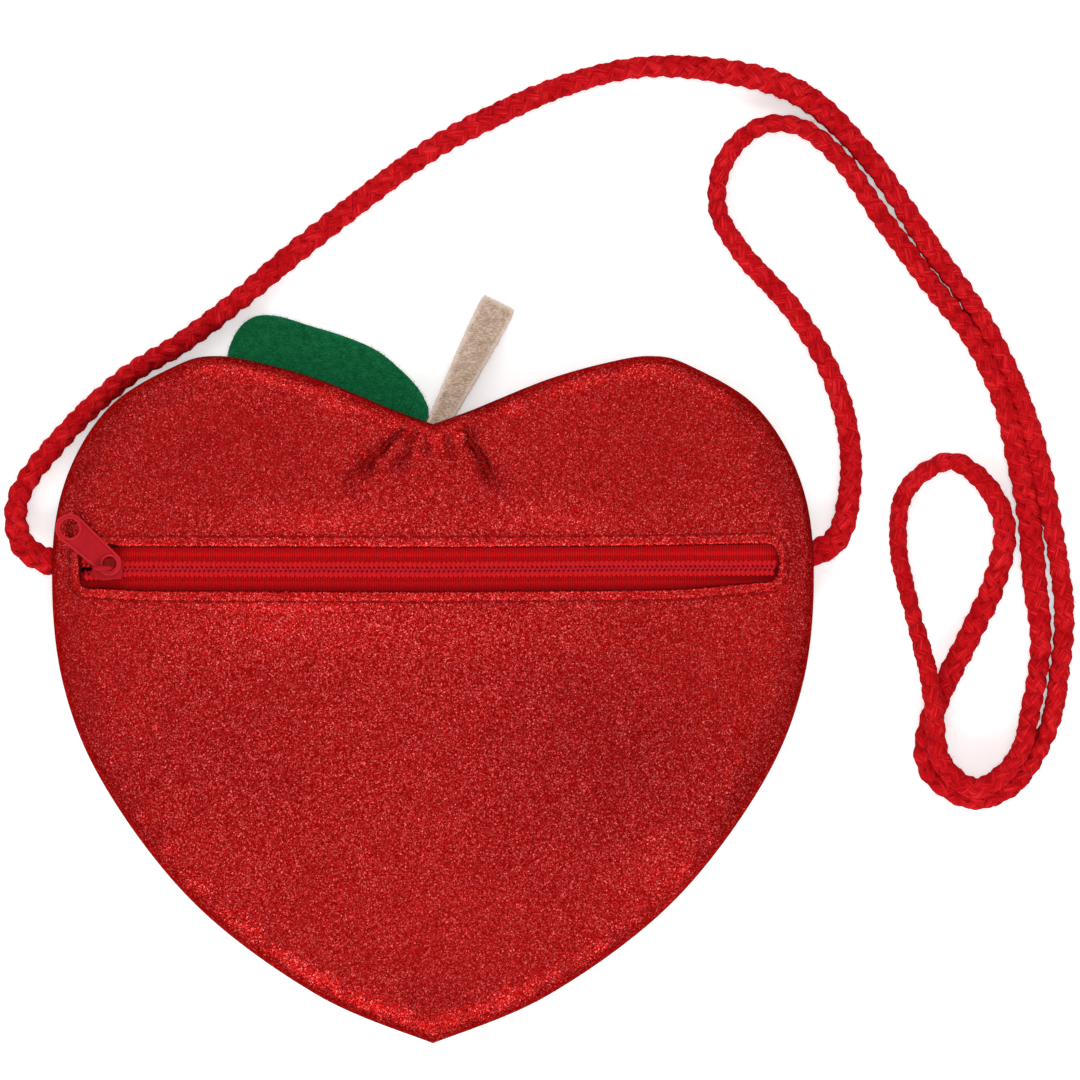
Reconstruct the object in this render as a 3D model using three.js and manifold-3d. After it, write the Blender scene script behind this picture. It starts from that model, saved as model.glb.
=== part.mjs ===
// A heart-shaped apple shoulder bag of glitter cloth, lying on its back with its cord laid out beside it.
// Millimetres. +X is to the bag's right, +Y up the bag, +Z out of its front; the back rests on z = 0.
import * as THREE from "three";
import { mergeVertices } from "three/addons/utils/BufferGeometryUtils.js";
import Module from "manifold-3d";

// Bag body
const BAG_WIDTH = 202.8;
const BAG_HEIGHT = 183.2;
const BAG_THICKNESS = 17;
const SEAM_Z = 8.5;
const FRONT_EDGE_ZONE = 14;
const FRONT_EDGE_POWER = 3;
const BACK_EDGE_ZONE = 40;
const BACK_EDGE_POWER = 2;
const EDGE_ANGLES = [0, 22, 46, 68, 90].map(THREE.MathUtils.degToRad);
const PANEL_THICKNESS = 0.8;
const WADDING_THICKNESS = 1;
const LINING_THICKNESS = 0.4;
const LAYER_GAP = 0.3;

// Right half of the heart from cleft to tip: x in half widths, y in heights from the middle
const HEART_KNOTS = [
  [0, 0.4],
  [0.1, 0.42],
  [0.296, 0.464],
  [0.454, 0.489],
  [0.572, 0.499],
  [0.671, 0.486],
  [0.848, 0.426],
  [0.962, 0.323],
  [1, 0.197],
  [0.974, 0.029],
  [0.862, -0.126],
  [0.624, -0.298],
  [0.303, -0.43],
  [0, -0.5],
];
const HEART_STEPS = 26;
const HEART_MIDDLE = new THREE.Vector2(0, 16);
const LEAST_INWARD = 0.75;

// Zip window
const ZIP_Y = 34.8;
const WINDOW_HEIGHT = 11.4;
const WINDOW_CORNER = 1.6;
const WINDOW_LEFT_MARGIN = 7.5;
const WINDOW_RIGHT_MARGIN = 9.4;
const TOPSTITCH_OFFSET = 2.9;
const THREAD = 0.35;
const THREAD_GAP = 0.1;
const CURVE_STEPS = 4;

// Zip tapes and coils
const TAPE_THICKNESS = 0.5;
const TAPE_REACH = 12;
const TAPE_EDGE = 0.95;
const TAPE_END = 0.8;
const TAPE_CORNER = 4;
const COIL_HEIGHT = 1.2;
const COIL_REACH = 2.2;
const COIL_SEAT = 0.2;
const TOOTH_PITCH = 1.27;
const TOOTH_TIP = 0.35;
const TOOTH_GAP = 0.5;
const LIP_SWING = THREE.MathUtils.degToRad(2);
const STOP_LENGTH = 1.4;
const STOP_HEIGHT = 0.6;
const STOP_GAP = 0.3;

// Slider and pull
const SLIDER_LENGTH = 10;
const SLIDER_FRONT_WIDTH = 8.5;
const SLIDER_REAR_WIDTH = 6.2;
const SLIDER_NOSE = 2.1;
const SLIDER_END_GAP = 2.7;
const PLATE_THICKNESS = 0.9;
const RUNNING_GAP = 0.3;
const FLANGE = 0.5;
const POST_LENGTH = 2;
const POST_WIDTH = 0.9;
const SPREAD = 1.25;
const SPREAD_BEFORE = 4;
const SPREAD_AFTER = 2;
const SPREAD_STEPS = 6;
const BAIL_OFFSET = 1.8;
const BAIL_WIDTH = 1.2;
const BAIL_BAR = 0.8;
const BAIL_FOOT = 0.9;
const PULL_THICKNESS = 1.2;
const PULL_LENGTH = 14.6;
const PULL_WIDTH = 5.8;
const RING_RADIUS = 3.2;
const RING_HOLE = 1.9;
const GRIP_RADIUS = 3.6;
const GRIP_HOLE = 2.6;
const DISC_SIDES = 24;
const PULL_YAW = THREE.MathUtils.degToRad(138);

// Felt leaf and stem, sewn into the seam at the cleft
const FELT_THICKNESS = 1.5;
const FELT_FLOOR_GAP = 0.2;
const ROOT_SLOT_WIDTH = 15;
const ROOT_SLOT_DEPTH = 7;
const LEAF_ROOT = new THREE.Vector2(-1.3, 0);
const LEAF_ANGLE = THREE.MathUtils.degToRad(157.6);
const LEAF_BEND = [1, 17];
// Distance along the leaf, then its lower and its upper edge across it
const LEAF_SECTIONS = [
  [-4, -1.6, 0.9],
  [0.5, -1, 1.8],
  [1.5, 0.9, 3.9],
  [4, 1, 6.3],
  [6.5, 0.9, 8.1],
  [8, -0.3, 8.8],
  [10, -2.5, 9.8],
  [13, -7, 10.9],
  [17, -11, 12.3],
  [22, -12.8, 13.3],
  [30, -13, 13.3],
  [40, -12.2, 12.4],
  [48, -11, 11.3],
  [53, -8.4, 9.2],
  [55.7, -4.8, 5.6],
  [56.6, -1.5, 1.8],
];
const STEM_ROOT = new THREE.Vector2(1.3, 0);
const STEM_ANGLE = THREE.MathUtils.degToRad(63.6);
// Distance along the stem, then its half width
const STEM_SECTIONS = [
  [-5, 2.6],
  [0, 2.9],
  [18, 4.1],
  [33, 4.8],
  [36.7, 4.4],
];

// Shoulder cord
const CORD_DIAMETER = 5.8;
const CORD_SIDES = 10;
const CORD_STEPS = 84;
const CORD_HOLE_GAP = 0.7;
const CORD_ROUTE = [
  [-94.7, 36.3, 8.5],
  [-103.7, 37, 7.8],
  [-109.9, 42.1, 4.1],
  [-110.7, 53.1, 3],
  [-97.9, 70.7, 3],
  [-81.3, 85.1, 3],
  [-51.5, 105.6, 3],
  [1.9, 148.5, 3],
  [65.9, 169.3, 3],
  [97.1, 162.7, 3],
  [116, 142.9, 3],
  [147.7, 101.1, 3],
  [162.9, 57.1, 3],
  [168.3, 23.2, 3],
  [166.7, -0.8, 3],
  [157.6, -22.7, 3],
  [142.1, -28.3, 3],
  [131.5, -18.4, 3],
  [133.9, -2.4, 3],
  [145.9, 23.2, 3],
  [152, 41.9, 3],
  [147.7, 56.5, 3],
  [136.8, 63.5, 3],
  [125.9, 55.5, 3],
  [124, 39.2, 3],
  [132.8, -2.4, 9.4],
  [135.5, -17.6, 8],
  [144.8, -23.5, 7.4],
  [153.6, -16.8, 6.4],
  [161.6, 11.7, 3.2],
  [158.7, 45.1, 3],
  [142.7, 95.2, 3],
  [108, 141.6, 3],
  [91.7, 153.3, 3],
  [76, 141.1, 3],
  [81.3, 120.3, 3],
  [102.7, 94.4, 3],
  [111.2, 63.7, 3],
  [108.3, 43.5, 4.8],
  [94.4, 37.9, 8.5],
];

// Worked out from the sizes above
const cleft = new THREE.Vector2(0, HEART_KNOTS[0][1] * BAG_HEIGHT);
const windowLeft = WINDOW_LEFT_MARGIN - BAG_WIDTH / 2;
const windowRight = BAG_WIDTH / 2 - WINDOW_RIGHT_MARGIN;
const tapeTop = BAG_THICKNESS - PANEL_THICKNESS - LAYER_GAP - COIL_HEIGHT - COIL_SEAT;
const tapeBottom = tapeTop - TAPE_THICKNESS;
const coilBottom = tapeTop + COIL_SEAT;
const coilTop = coilBottom + COIL_HEIGHT;
const stopTop = coilBottom + STOP_HEIGHT;
const tapeLeft = windowLeft - TAPE_END;
const tapeRight = windowRight + TAPE_END + STOP_LENGTH;
const coilLeft = tapeLeft + STOP_LENGTH + STOP_GAP;
const coilRight = windowRight - STOP_GAP;
const lipPivotX = windowRight + STOP_LENGTH / 2;
const lipTravel = (lipPivotX - tapeLeft) * Math.tan(LIP_SWING);
const sliderX = windowLeft + SLIDER_END_GAP + SLIDER_LENGTH / 2;
const waddingDepth = PANEL_THICKNESS + LAYER_GAP;
const backLiningDepth = waddingDepth + WADDING_THICKNESS + LAYER_GAP;
const frontLiningDepth = BAG_THICKNESS - tapeBottom + LAYER_GAP;
const plateTop = coilTop + RUNNING_GAP + PLATE_THICKNESS;
const ringBar = RING_RADIUS - RING_HOLE;
const ringSwing = Math.hypot(ringBar, PULL_THICKNESS) / 2;
const pivotZ = plateTop + ringSwing + RUNNING_GAP;
const cordPath = new THREE.CatmullRomCurve3(CORD_ROUTE.map((p) => new THREE.Vector3(...p)));
const UP_Y = new THREE.Vector3(0, 1, 0);
const MERGE_DISTANCE = 1e-4;

const wasm = await Module();
wasm.setup();

// A closed geometry as a solid for joining and cutting
function solidOf(geometry) {
  const loose = geometry.index ? geometry.toNonIndexed() : geometry;
  const bare = new THREE.BufferGeometry();
  bare.setAttribute("position", loose.getAttribute("position"));
  const merged = mergeVertices(bare, MERGE_DISTANCE);
  const mesh = new wasm.Mesh({
    numProp: 3,
    vertProperties: merged.attributes.position.array,
    triVerts: new Uint32Array(merged.index.array),
  });
  return new wasm.Manifold(mesh);
}

function geometryOf(solid) {
  const mesh = solid.getMesh();
  const geometry = new THREE.BufferGeometry();
  geometry.setAttribute("position", new THREE.BufferAttribute(mesh.vertProperties, mesh.numProp));
  geometry.setIndex(new THREE.BufferAttribute(mesh.triVerts, 1));
  return geometry;
}

function cut(geometry, cutters) {
  return geometryOf(cutters.reduce((solid, cutter) => solid.subtract(solidOf(cutter)), solidOf(geometry)));
}

function join(geometries) {
  return geometryOf(geometries.map(solidOf).reduce((solid, other) => solid.add(other)));
}

function cloth(color, roughness) {
  return new THREE.MeshStandardMaterial({ color, roughness, metalness: 0 });
}

function named(name, geometry, material) {
  const mesh = new THREE.Mesh(geometry, material);
  mesh.name = name;
  return mesh;
}

// A prism from z = bottom up to z = top over a flat shape
function prism(shape, bottom, top) {
  const geometry = new THREE.ExtrudeGeometry(shape, {
    depth: top - bottom,
    bevelEnabled: false,
    curveSegments: CURVE_STEPS,
  });
  return geometry.translate(0, 0, bottom);
}

function box(left, right, low, high, bottom, top) {
  const geometry = new THREE.BoxGeometry(right - left, high - low, top - bottom);
  return geometry.translate((left + right) / 2, (low + high) / 2, (bottom + top) / 2);
}

// A rounded rectangle about the zip's line
function zipRectangle(left, right, halfHeight, corner) {
  const shape = new THREE.Shape();
  shape.moveTo(left + corner, -halfHeight);
  shape.lineTo(right - corner, -halfHeight);
  shape.absarc(right - corner, corner - halfHeight, corner, -Math.PI / 2, 0);
  shape.lineTo(right, halfHeight - corner);
  shape.absarc(right - corner, halfHeight - corner, corner, 0, Math.PI / 2);
  shape.lineTo(left + corner, halfHeight);
  shape.absarc(left + corner, halfHeight - corner, corner, Math.PI / 2, Math.PI);
  shape.lineTo(left, corner - halfHeight);
  shape.absarc(left + corner, corner - halfHeight, corner, Math.PI, Math.PI * 1.5);
  return shape;
}

// A closed skin over rings of equal length, with a cap on the first and on the last
function loft(rings, capTriangles) {
  const count = rings[0].length;
  const index = [];
  for (let r = 0; r + 1 < rings.length; r++) {
    for (let i = 0; i < count; i++) {
      const next = (i + 1) % count;
      const a = r * count;
      const b = a + count;
      index.push(a + i, a + next, b + next, a + i, b + next, b + i);
    }
  }
  const last = (rings.length - 1) * count;
  for (const [i, j, k] of capTriangles) {
    index.push(i, k, j, last + i, last + j, last + k);
  }
  const geometry = new THREE.BufferGeometry().setFromPoints(rings.flat());
  geometry.setIndex(index);
  return geometry;
}

// The heart's outline, anticlockwise from the tip, with the inward step that moves each point in by 1 mm
function heartOutline() {
  const knots = HEART_KNOTS.map(([x, y]) => new THREE.Vector2((x * BAG_WIDTH) / 2, y * BAG_HEIGHT));
  const half = new THREE.SplineCurve(knots).getSpacedPoints(HEART_STEPS).reverse();
  const mirrored = half.slice(1, -1).reverse().map((p) => new THREE.Vector2(-p.x, p.y));
  const points = [...half, ...mirrored];
  const inward = points.map((p, i) => {
    const before = points.at(i - 1);
    const after = points[(i + 1) % points.length];
    const along = after.clone().sub(before).normalize();
    const normal = new THREE.Vector2(-along.y, along.x);
    const toMiddle = HEART_MIDDLE.clone().sub(p).normalize();
    return toMiddle.divideScalar(Math.max(toMiddle.dot(normal), LEAST_INWARD));
  });
  return { points, inward };
}
const heart = heartOutline();

// How the cloth rises from the seam: a rounded edge that ends in a flat
const FRONT_EDGE = {
  zone: FRONT_EDGE_ZONE,
  rise: BAG_THICKNESS - SEAM_Z - LAYER_GAP / 2,
  power: FRONT_EDGE_POWER,
  side: 1,
};
const BACK_EDGE = {
  zone: BACK_EDGE_ZONE,
  rise: SEAM_Z - LAYER_GAP / 2,
  power: BACK_EDGE_POWER,
  side: -1,
};

// One ring of a layer that lies a given depth under the outer face
function heartRing(edge, depth, angle) {
  const across = Math.abs(Math.cos(angle)) ** (2 / edge.power);
  const up = Math.sin(angle) ** (2 / edge.power);
  const normal = new THREE.Vector2(
    across ** (edge.power - 1) / edge.zone,
    up ** (edge.power - 1) / edge.rise,
  ).normalize();
  const inset = edge.zone * (1 - across) + depth * normal.x;
  const height = edge.rise * up - depth * normal.y;
  const z = SEAM_Z + edge.side * (LAYER_GAP / 2 + height);
  return heart.points.map((p, i) => {
    const moved = p.clone().addScaledVector(heart.inward[i], inset);
    return new THREE.Vector3(moved.x, moved.y, z);
  });
}

// A heart-shaped layer of cloth between two depths under the outer face
function heartLayer(edge, depth, thickness) {
  const outer = EDGE_ANGLES.map((angle) => heartRing(edge, depth, angle));
  const inner = EDGE_ANGLES.map((angle) => heartRing(edge, depth + thickness, angle));
  const rings = edge.side > 0 ? [...inner.reverse(), ...outer] : [...outer.reverse(), ...inner];
  const flat = heartRing(edge, depth, EDGE_ANGLES.at(-1)).map((p) => new THREE.Vector2(p.x, p.y));
  return loft(rings, THREE.ShapeUtils.triangulateShape(flat, []));
}

// A round hole along the cord's end from its tail out of the seam
function cordHole(tail, outside) {
  const along = outside.clone().sub(tail);
  const radius = CORD_DIAMETER / 2 + CORD_HOLE_GAP;
  const hole = new THREE.CylinderGeometry(radius, radius, along.length() + 2 * CORD_HOLE_GAP, CORD_SIDES);
  hole.applyQuaternion(new THREE.Quaternion().setFromUnitVectors(UP_Y, along.clone().normalize()));
  const middle = tail.clone().lerp(outside, 0.5);
  return hole.translate(middle.x, middle.y, middle.z);
}

// Where the cord's ends and the felt roots pass through the seam
function seamCutters() {
  const steps = cordPath.getSpacedPoints(CORD_STEPS);
  const holes = [cordHole(steps[0], steps[1]), cordHole(steps.at(-1), steps.at(-2))];
  const slotHeight = (2 * FELT_THICKNESS + 3 * LAYER_GAP) / 2;
  const slot = box(
    -ROOT_SLOT_WIDTH / 2,
    ROOT_SLOT_WIDTH / 2,
    cleft.y - ROOT_SLOT_DEPTH,
    cleft.y + ROOT_SLOT_DEPTH,
    SEAM_Z - slotHeight,
    SEAM_Z + slotHeight,
  );
  return [...holes, slot];
}

function windowCutter(left, right, halfHeight, corner) {
  const shape = zipRectangle(left, right, halfHeight, corner);
  return prism(shape, SEAM_Z, BAG_THICKNESS + PANEL_THICKNESS).translate(0, ZIP_Y, 0);
}

function makeBag() {
  const glitter = new THREE.MeshStandardMaterial({ color: 0xb01418, roughness: 0.45, metalness: 0.3 });
  const fleece = cloth(0xe8e4dc, 0.95);
  const lining = cloth(0x8c1013, 0.7);
  const window = windowCutter(windowLeft, windowRight, WINDOW_HEIGHT / 2, WINDOW_CORNER);
  // The wadding stops short of the tapes, which swing under the front panel when the zip opens
  const tapeRoom = windowCutter(
    tapeLeft - LAYER_GAP,
    tapeRight + TAPE_REACH * Math.sin(LIP_SWING) + LAYER_GAP,
    TAPE_REACH + lipTravel + LAYER_GAP,
    WINDOW_CORNER,
  );
  const layers = [
    ["front_panel", glitter, FRONT_EDGE, 0, PANEL_THICKNESS, [window]],
    ["back_panel", glitter, BACK_EDGE, 0, PANEL_THICKNESS, []],
    ["front_wadding", fleece, FRONT_EDGE, waddingDepth, WADDING_THICKNESS, [tapeRoom]],
    ["back_wadding", fleece, BACK_EDGE, waddingDepth, WADDING_THICKNESS, []],
    ["front_lining", lining, FRONT_EDGE, frontLiningDepth, LINING_THICKNESS, [window]],
    ["back_lining", lining, BACK_EDGE, backLiningDepth, LINING_THICKNESS, []],
  ];
  return layers.map(([name, material, edge, depth, thickness, cutters]) => {
    const layer = heartLayer(edge, depth, thickness);
    return named(name, cut(layer, [...cutters, ...seamCutters()]), material);
  });
}

// One thread that runs round the window on the front panel
function makeTopstitch() {
  const ring = (offset) =>
    zipRectangle(
      windowLeft - offset,
      windowRight + offset,
      WINDOW_HEIGHT / 2 + offset,
      WINDOW_CORNER + offset,
    );
  const shape = ring(TOPSTITCH_OFFSET + THREAD / 2);
  shape.holes.push(ring(TOPSTITCH_OFFSET - THREAD / 2));
  const bottom = BAG_THICKNESS + THREAD_GAP;
  return named("window_topstitch", prism(shape, bottom, bottom + THREAD), cloth(0x7c0c10, 0.6));
}

// How far each half of the zip stands off its line, where the slider's post holds the halves apart
function spreadAt(x) {
  return SPREAD * (1 - THREE.MathUtils.smoothstep(x, sliderX - SPREAD_BEFORE, sliderX + SPREAD_AFTER));
}

// Points along the spread inner edge of a tape
function spreadSteps(left, right) {
  const step = (SPREAD_BEFORE + SPREAD_AFTER) / SPREAD_STEPS;
  const bend = Array.from({ length: SPREAD_STEPS + 1 }, (_, i) => sliderX - SPREAD_BEFORE + step * i);
  return [left, ...bend, right];
}

// side is 1 for the upper half of the zip and -1 for the lower one
function halfShape(points, side) {
  const shape = new THREE.Shape();
  shape.setFromPoints(points.map(([x, y]) => new THREE.Vector2(x, side * y)));
  return shape;
}

function makeTape(name, side) {
  const inner = spreadSteps(tapeLeft, tapeRight).map((x) => [x, TAPE_EDGE + spreadAt(x)]);
  const outer = [
    [tapeRight, TAPE_REACH],
    [tapeLeft + TAPE_CORNER, TAPE_REACH],
    [tapeLeft, TAPE_REACH - TAPE_CORNER],
  ];
  const geometry = prism(halfShape([...inner, ...outer], side), tapeBottom, tapeTop);
  return named(name, geometry, cloth(0xc8101a, 0.8));
}

// A comb whose pointed teeth mesh with those of the other half, half a pitch along
function makeCoil(name, side) {
  const shift = side > 0 ? 0 : TOOTH_PITCH / 2;
  const teeth = Math.floor((coilRight - coilLeft - shift) / TOOTH_PITCH);
  const inner = [];
  for (let i = 0; i < teeth; i++) {
    const tip = coilLeft + shift + (i + 0.25) * TOOTH_PITCH;
    const valley = tip + TOOTH_PITCH / 2;
    inner.push([tip, spreadAt(tip) - TOOTH_TIP]);
    inner.push([valley, spreadAt(valley) + TOOTH_TIP + TOOTH_GAP]);
  }
  const back = spreadSteps(inner[0][0], inner.at(-1)[0]).map((x) => [x, spreadAt(x) + COIL_REACH]);
  const geometry = prism(halfShape([...inner, ...back.reverse()], side), coilBottom, coilTop);
  return named(name, geometry, cloth(0xd8141e, 0.45));
}

function makeTopStop(name, side) {
  const edge = TAPE_EDGE + SPREAD;
  const geometry = box(tapeLeft, tapeLeft + STOP_LENGTH, edge, COIL_REACH + SPREAD, coilBottom, stopTop);
  geometry.translate(0, side > 0 ? 0 : -(edge + COIL_REACH + SPREAD), 0);
  return named(name, geometry, cloth(0xc4141c, 0.5));
}

function makeBottomStop() {
  const geometry = box(windowRight, windowRight + STOP_LENGTH, -COIL_REACH, COIL_REACH, coilBottom, stopTop);
  return named("bottom_stop", geometry, cloth(0xc4141c, 0.5));
}

// A plate in the slider's plan: wide where the two halves come in, narrow where they leave closed
function sliderPlan() {
  const rear = SLIDER_LENGTH / 2;
  const nose = SLIDER_NOSE;
  const shape = new THREE.Shape();
  shape.moveTo(rear, -SLIDER_REAR_WIDTH / 2);
  shape.lineTo(rear, SLIDER_REAR_WIDTH / 2);
  shape.lineTo(nose - rear, SLIDER_FRONT_WIDTH / 2);
  shape.quadraticCurveTo(-rear, SLIDER_FRONT_WIDTH / 2, -rear, nose);
  shape.lineTo(-rear, -nose);
  shape.quadraticCurveTo(-rear, -SLIDER_FRONT_WIDTH / 2, nose - rear, -SLIDER_FRONT_WIDTH / 2);
  return shape;
}

function flangePlan(side) {
  const rear = SLIDER_LENGTH / 2;
  const start = SLIDER_NOSE - rear;
  const front = SLIDER_FRONT_WIDTH / 2;
  return halfShape(
    [
      [start, front - FLANGE],
      [rear, SLIDER_REAR_WIDTH / 2 - FLANGE],
      [rear, SLIDER_REAR_WIDTH / 2],
      [start, front],
    ],
    side,
  );
}

function makeSliderBody(paint) {
  const underTop = plateTop - PLATE_THICKNESS;
  const overBottom = tapeBottom - RUNNING_GAP;
  const front = -SLIDER_LENGTH / 2;
  const bite = PLATE_THICKNESS / 2;
  const parts = [
    prism(sliderPlan(), underTop, plateTop),
    prism(sliderPlan(), overBottom - PLATE_THICKNESS, overBottom),
    prism(flangePlan(1), tapeTop + RUNNING_GAP, underTop + bite),
    prism(flangePlan(-1), tapeTop + RUNNING_GAP, underTop + bite),
    box(front, front + POST_LENGTH, -POST_WIDTH / 2, POST_WIDTH / 2, overBottom - bite, underTop + bite),
  ];
  return named("slider_body", join(parts), paint);
}

// A square arch over the pull's ring, with its feet on the top plate
function makeBail(paint) {
  const ringCentre = (RING_RADIUS + RING_HOLE) / 2;
  const outer = ringCentre + BAIL_FOOT / 2;
  const inner = ringCentre - BAIL_FOOT / 2;
  const foot = plateTop + THREAD_GAP - pivotZ;
  const under = ringSwing + RUNNING_GAP;
  const shape = new THREE.Shape();
  shape.moveTo(-outer, foot);
  shape.lineTo(-inner, foot);
  shape.lineTo(-inner, under);
  shape.lineTo(inner, under);
  shape.lineTo(inner, foot);
  shape.lineTo(outer, foot);
  shape.lineTo(outer, under);
  shape.quadraticCurveTo(outer, under + BAIL_BAR, inner, under + BAIL_BAR);
  shape.lineTo(-inner, under + BAIL_BAR);
  shape.quadraticCurveTo(-outer, under + BAIL_BAR, -outer, under);
  const geometry = prism(shape, -BAIL_WIDTH / 2, BAIL_WIDTH / 2).rotateX(Math.PI / 2);
  return named("slider_bail", geometry, paint);
}

function disc(radius, thickness, x) {
  const geometry = new THREE.CylinderGeometry(radius, radius, thickness, DISC_SIDES);
  return geometry.rotateX(Math.PI / 2).translate(x, 0, 0);
}

// The pull lies along +X from its ring, which the bail's foot goes through, to its grip hole
function makePull(paint) {
  const bar = box(0, PULL_LENGTH, -PULL_WIDTH / 2, PULL_WIDTH / 2, -PULL_THICKNESS / 2, PULL_THICKNESS / 2);
  const ring = disc(RING_RADIUS, PULL_THICKNESS, 0);
  const grip = disc(GRIP_RADIUS, PULL_THICKNESS, PULL_LENGTH);
  const blank = join([bar, ring, grip]);
  const holes = [
    disc(RING_HOLE, PULL_THICKNESS * 2, 0),
    disc(GRIP_HOLE, PULL_THICKNESS * 2, PULL_LENGTH),
  ];
  const pull = named("pull_tab", cut(blank, holes), paint);
  pull.rotation.z = PULL_YAW;
  pull.position.x = -(RING_RADIUS + RING_HOLE) / 2;
  return pull;
}

function makeSlider() {
  const paint = new THREE.MeshStandardMaterial({ color: 0xc01820, roughness: 0.4, metalness: 0 });
  const hinge = new THREE.Group();
  hinge.position.set(BAIL_OFFSET, 0, pivotZ);
  hinge.add(makeBail(paint), makePull(paint));
  const slider = new THREE.Group();
  slider.position.x = sliderX;
  slider.add(makeSliderBody(paint), hinge);
  return slider;
}

function makeZip() {
  const zip = new THREE.Group();
  zip.position.y = ZIP_Y;
  zip.add(
    makeTopstitch(),
    makeTape("upper_zip_tape", 1),
    makeTape("lower_zip_tape", -1),
    makeCoil("upper_zip_coil", 1),
    makeCoil("lower_zip_coil", -1),
    makeTopStop("upper_top_stop", 1),
    makeTopStop("lower_top_stop", -1),
    makeBottomStop(),
    makeSlider(),
  );
  return zip;
}

// A strip of felt through sections [along, lower edge, upper edge, middle height]
function feltStrip(sections) {
  const half = FELT_THICKNESS / 2;
  const rings = sections.map(([along, low, high, z]) => [
    new THREE.Vector3(along, high, z - half),
    new THREE.Vector3(along, high, z + half),
    new THREE.Vector3(along, low, z + half),
    new THREE.Vector3(along, low, z - half),
  ]);
  return loft(rings, [
    [0, 1, 2],
    [0, 2, 3],
  ]);
}

// The leaf leaves the seam behind the stem, bends down and lies flat under the left lobe
function makeLeaf() {
  const root = SEAM_Z - (FELT_THICKNESS + LAYER_GAP) / 2;
  const rest = FELT_FLOOR_GAP + FELT_THICKNESS / 2;
  const sections = LEAF_SECTIONS.map(([along, low, high]) => {
    const drop = THREE.MathUtils.smoothstep(along, ...LEAF_BEND);
    return [along, -high, -low, THREE.MathUtils.lerp(root, rest, drop)];
  });
  const leaf = named("leaf", feltStrip(sections), cloth(0x06743a, 0.95));
  leaf.rotation.z = LEAF_ANGLE;
  leaf.position.set(LEAF_ROOT.x, cleft.y + LEAF_ROOT.y, 0);
  return leaf;
}

// The stem leaves the seam in front of the leaf and slopes down until its end rests
function makeStem() {
  const root = SEAM_Z + (FELT_THICKNESS + LAYER_GAP) / 2;
  const rest = FELT_FLOOR_GAP + FELT_THICKNESS / 2;
  const length = STEM_SECTIONS.at(-1)[0];
  const sections = STEM_SECTIONS.map(([along, half]) => {
    const drop = Math.max(along, 0) / length;
    return [along, -half, half, THREE.MathUtils.lerp(root, rest, drop)];
  });
  const stem = named("stem", feltStrip(sections), cloth(0xb89878, 0.95));
  stem.rotation.z = STEM_ANGLE;
  stem.position.set(STEM_ROOT.x, cleft.y + STEM_ROOT.y, 0);
  return stem;
}

function makeCord() {
  const section = new THREE.Shape();
  section.setFromPoints(
    Array.from({ length: CORD_SIDES }, (_, i) => {
      const angle = (i * 2 * Math.PI) / CORD_SIDES;
      return new THREE.Vector2(Math.cos(angle), Math.sin(angle)).multiplyScalar(CORD_DIAMETER / 2);
    }),
  );
  const tube = new THREE.ExtrudeGeometry(section, { steps: CORD_STEPS, extrudePath: cordPath });
  return named("shoulder_cord", tube, cloth(0xc4101c, 0.9));
}

const bag = new THREE.Group();
bag.add(...makeBag(), makeZip(), makeLeaf(), makeStem(), makeCord());

export default bag;
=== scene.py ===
from math import acos, cos, pi, radians, sin, sqrt, tau

import bpy
import numpy as np
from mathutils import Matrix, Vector
from mathutils.geometry import delaunay_2d_cdt


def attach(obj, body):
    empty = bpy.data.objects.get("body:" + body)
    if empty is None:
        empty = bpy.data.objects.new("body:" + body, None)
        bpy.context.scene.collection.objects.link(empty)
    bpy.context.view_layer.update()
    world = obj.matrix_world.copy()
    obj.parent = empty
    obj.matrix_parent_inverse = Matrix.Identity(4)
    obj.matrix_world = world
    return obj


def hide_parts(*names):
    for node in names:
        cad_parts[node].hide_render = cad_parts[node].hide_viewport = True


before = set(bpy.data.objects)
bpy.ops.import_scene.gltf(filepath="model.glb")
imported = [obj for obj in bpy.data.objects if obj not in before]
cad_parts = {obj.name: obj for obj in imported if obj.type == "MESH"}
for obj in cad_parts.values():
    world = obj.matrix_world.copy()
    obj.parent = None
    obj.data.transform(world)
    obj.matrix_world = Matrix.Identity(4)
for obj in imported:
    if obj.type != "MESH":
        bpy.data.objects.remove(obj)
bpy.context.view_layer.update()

MM = 0.001
UP = np.array([0.0, 0.0, 1.0])

# Bag body
BAG_WIDTH = 202.8
BAG_HEIGHT = 183.2
BAG_THICKNESS = 17.0
SEAM_Z = 8.5
FRONT_ZONE = 14.0
FRONT_POWER = 3
BACK_ZONE = 40.0
BACK_POWER = 2
PANEL_THICKNESS = 0.8
WADDING_DEPTH = 1.1
WADDING_THICKNESS = 1.0
FRONT_LINING_DEPTH = 3.3
BACK_LINING_DEPTH = 2.4
LINING_THICKNESS = 0.4
LAYER_SPACING = 3.0
HEART_MIDDLE = np.array([0.0, 16.0])
# The outline's right half from the cleft to the tip, in half widths and heights
HEART_KNOTS = np.array([
    (0, 0.4), (0.1, 0.42), (0.296, 0.464), (0.454, 0.489), (0.572, 0.499), (0.671, 0.486), (0.848, 0.426),
    (0.962, 0.323), (1, 0.197), (0.974, 0.029), (0.862, -0.126), (0.624, -0.298), (0.303, -0.43), (0, -0.5),
])
HEART_POINTS = 440
CLEFT_Y = 73.3
FOLD_STEPS = 60
DEEPEST_FOLD = 1.9
SPLINE_STEPS = 60
FLAKE_SCALE = 3500.0
FLAKE_TILT = 0.4

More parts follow.
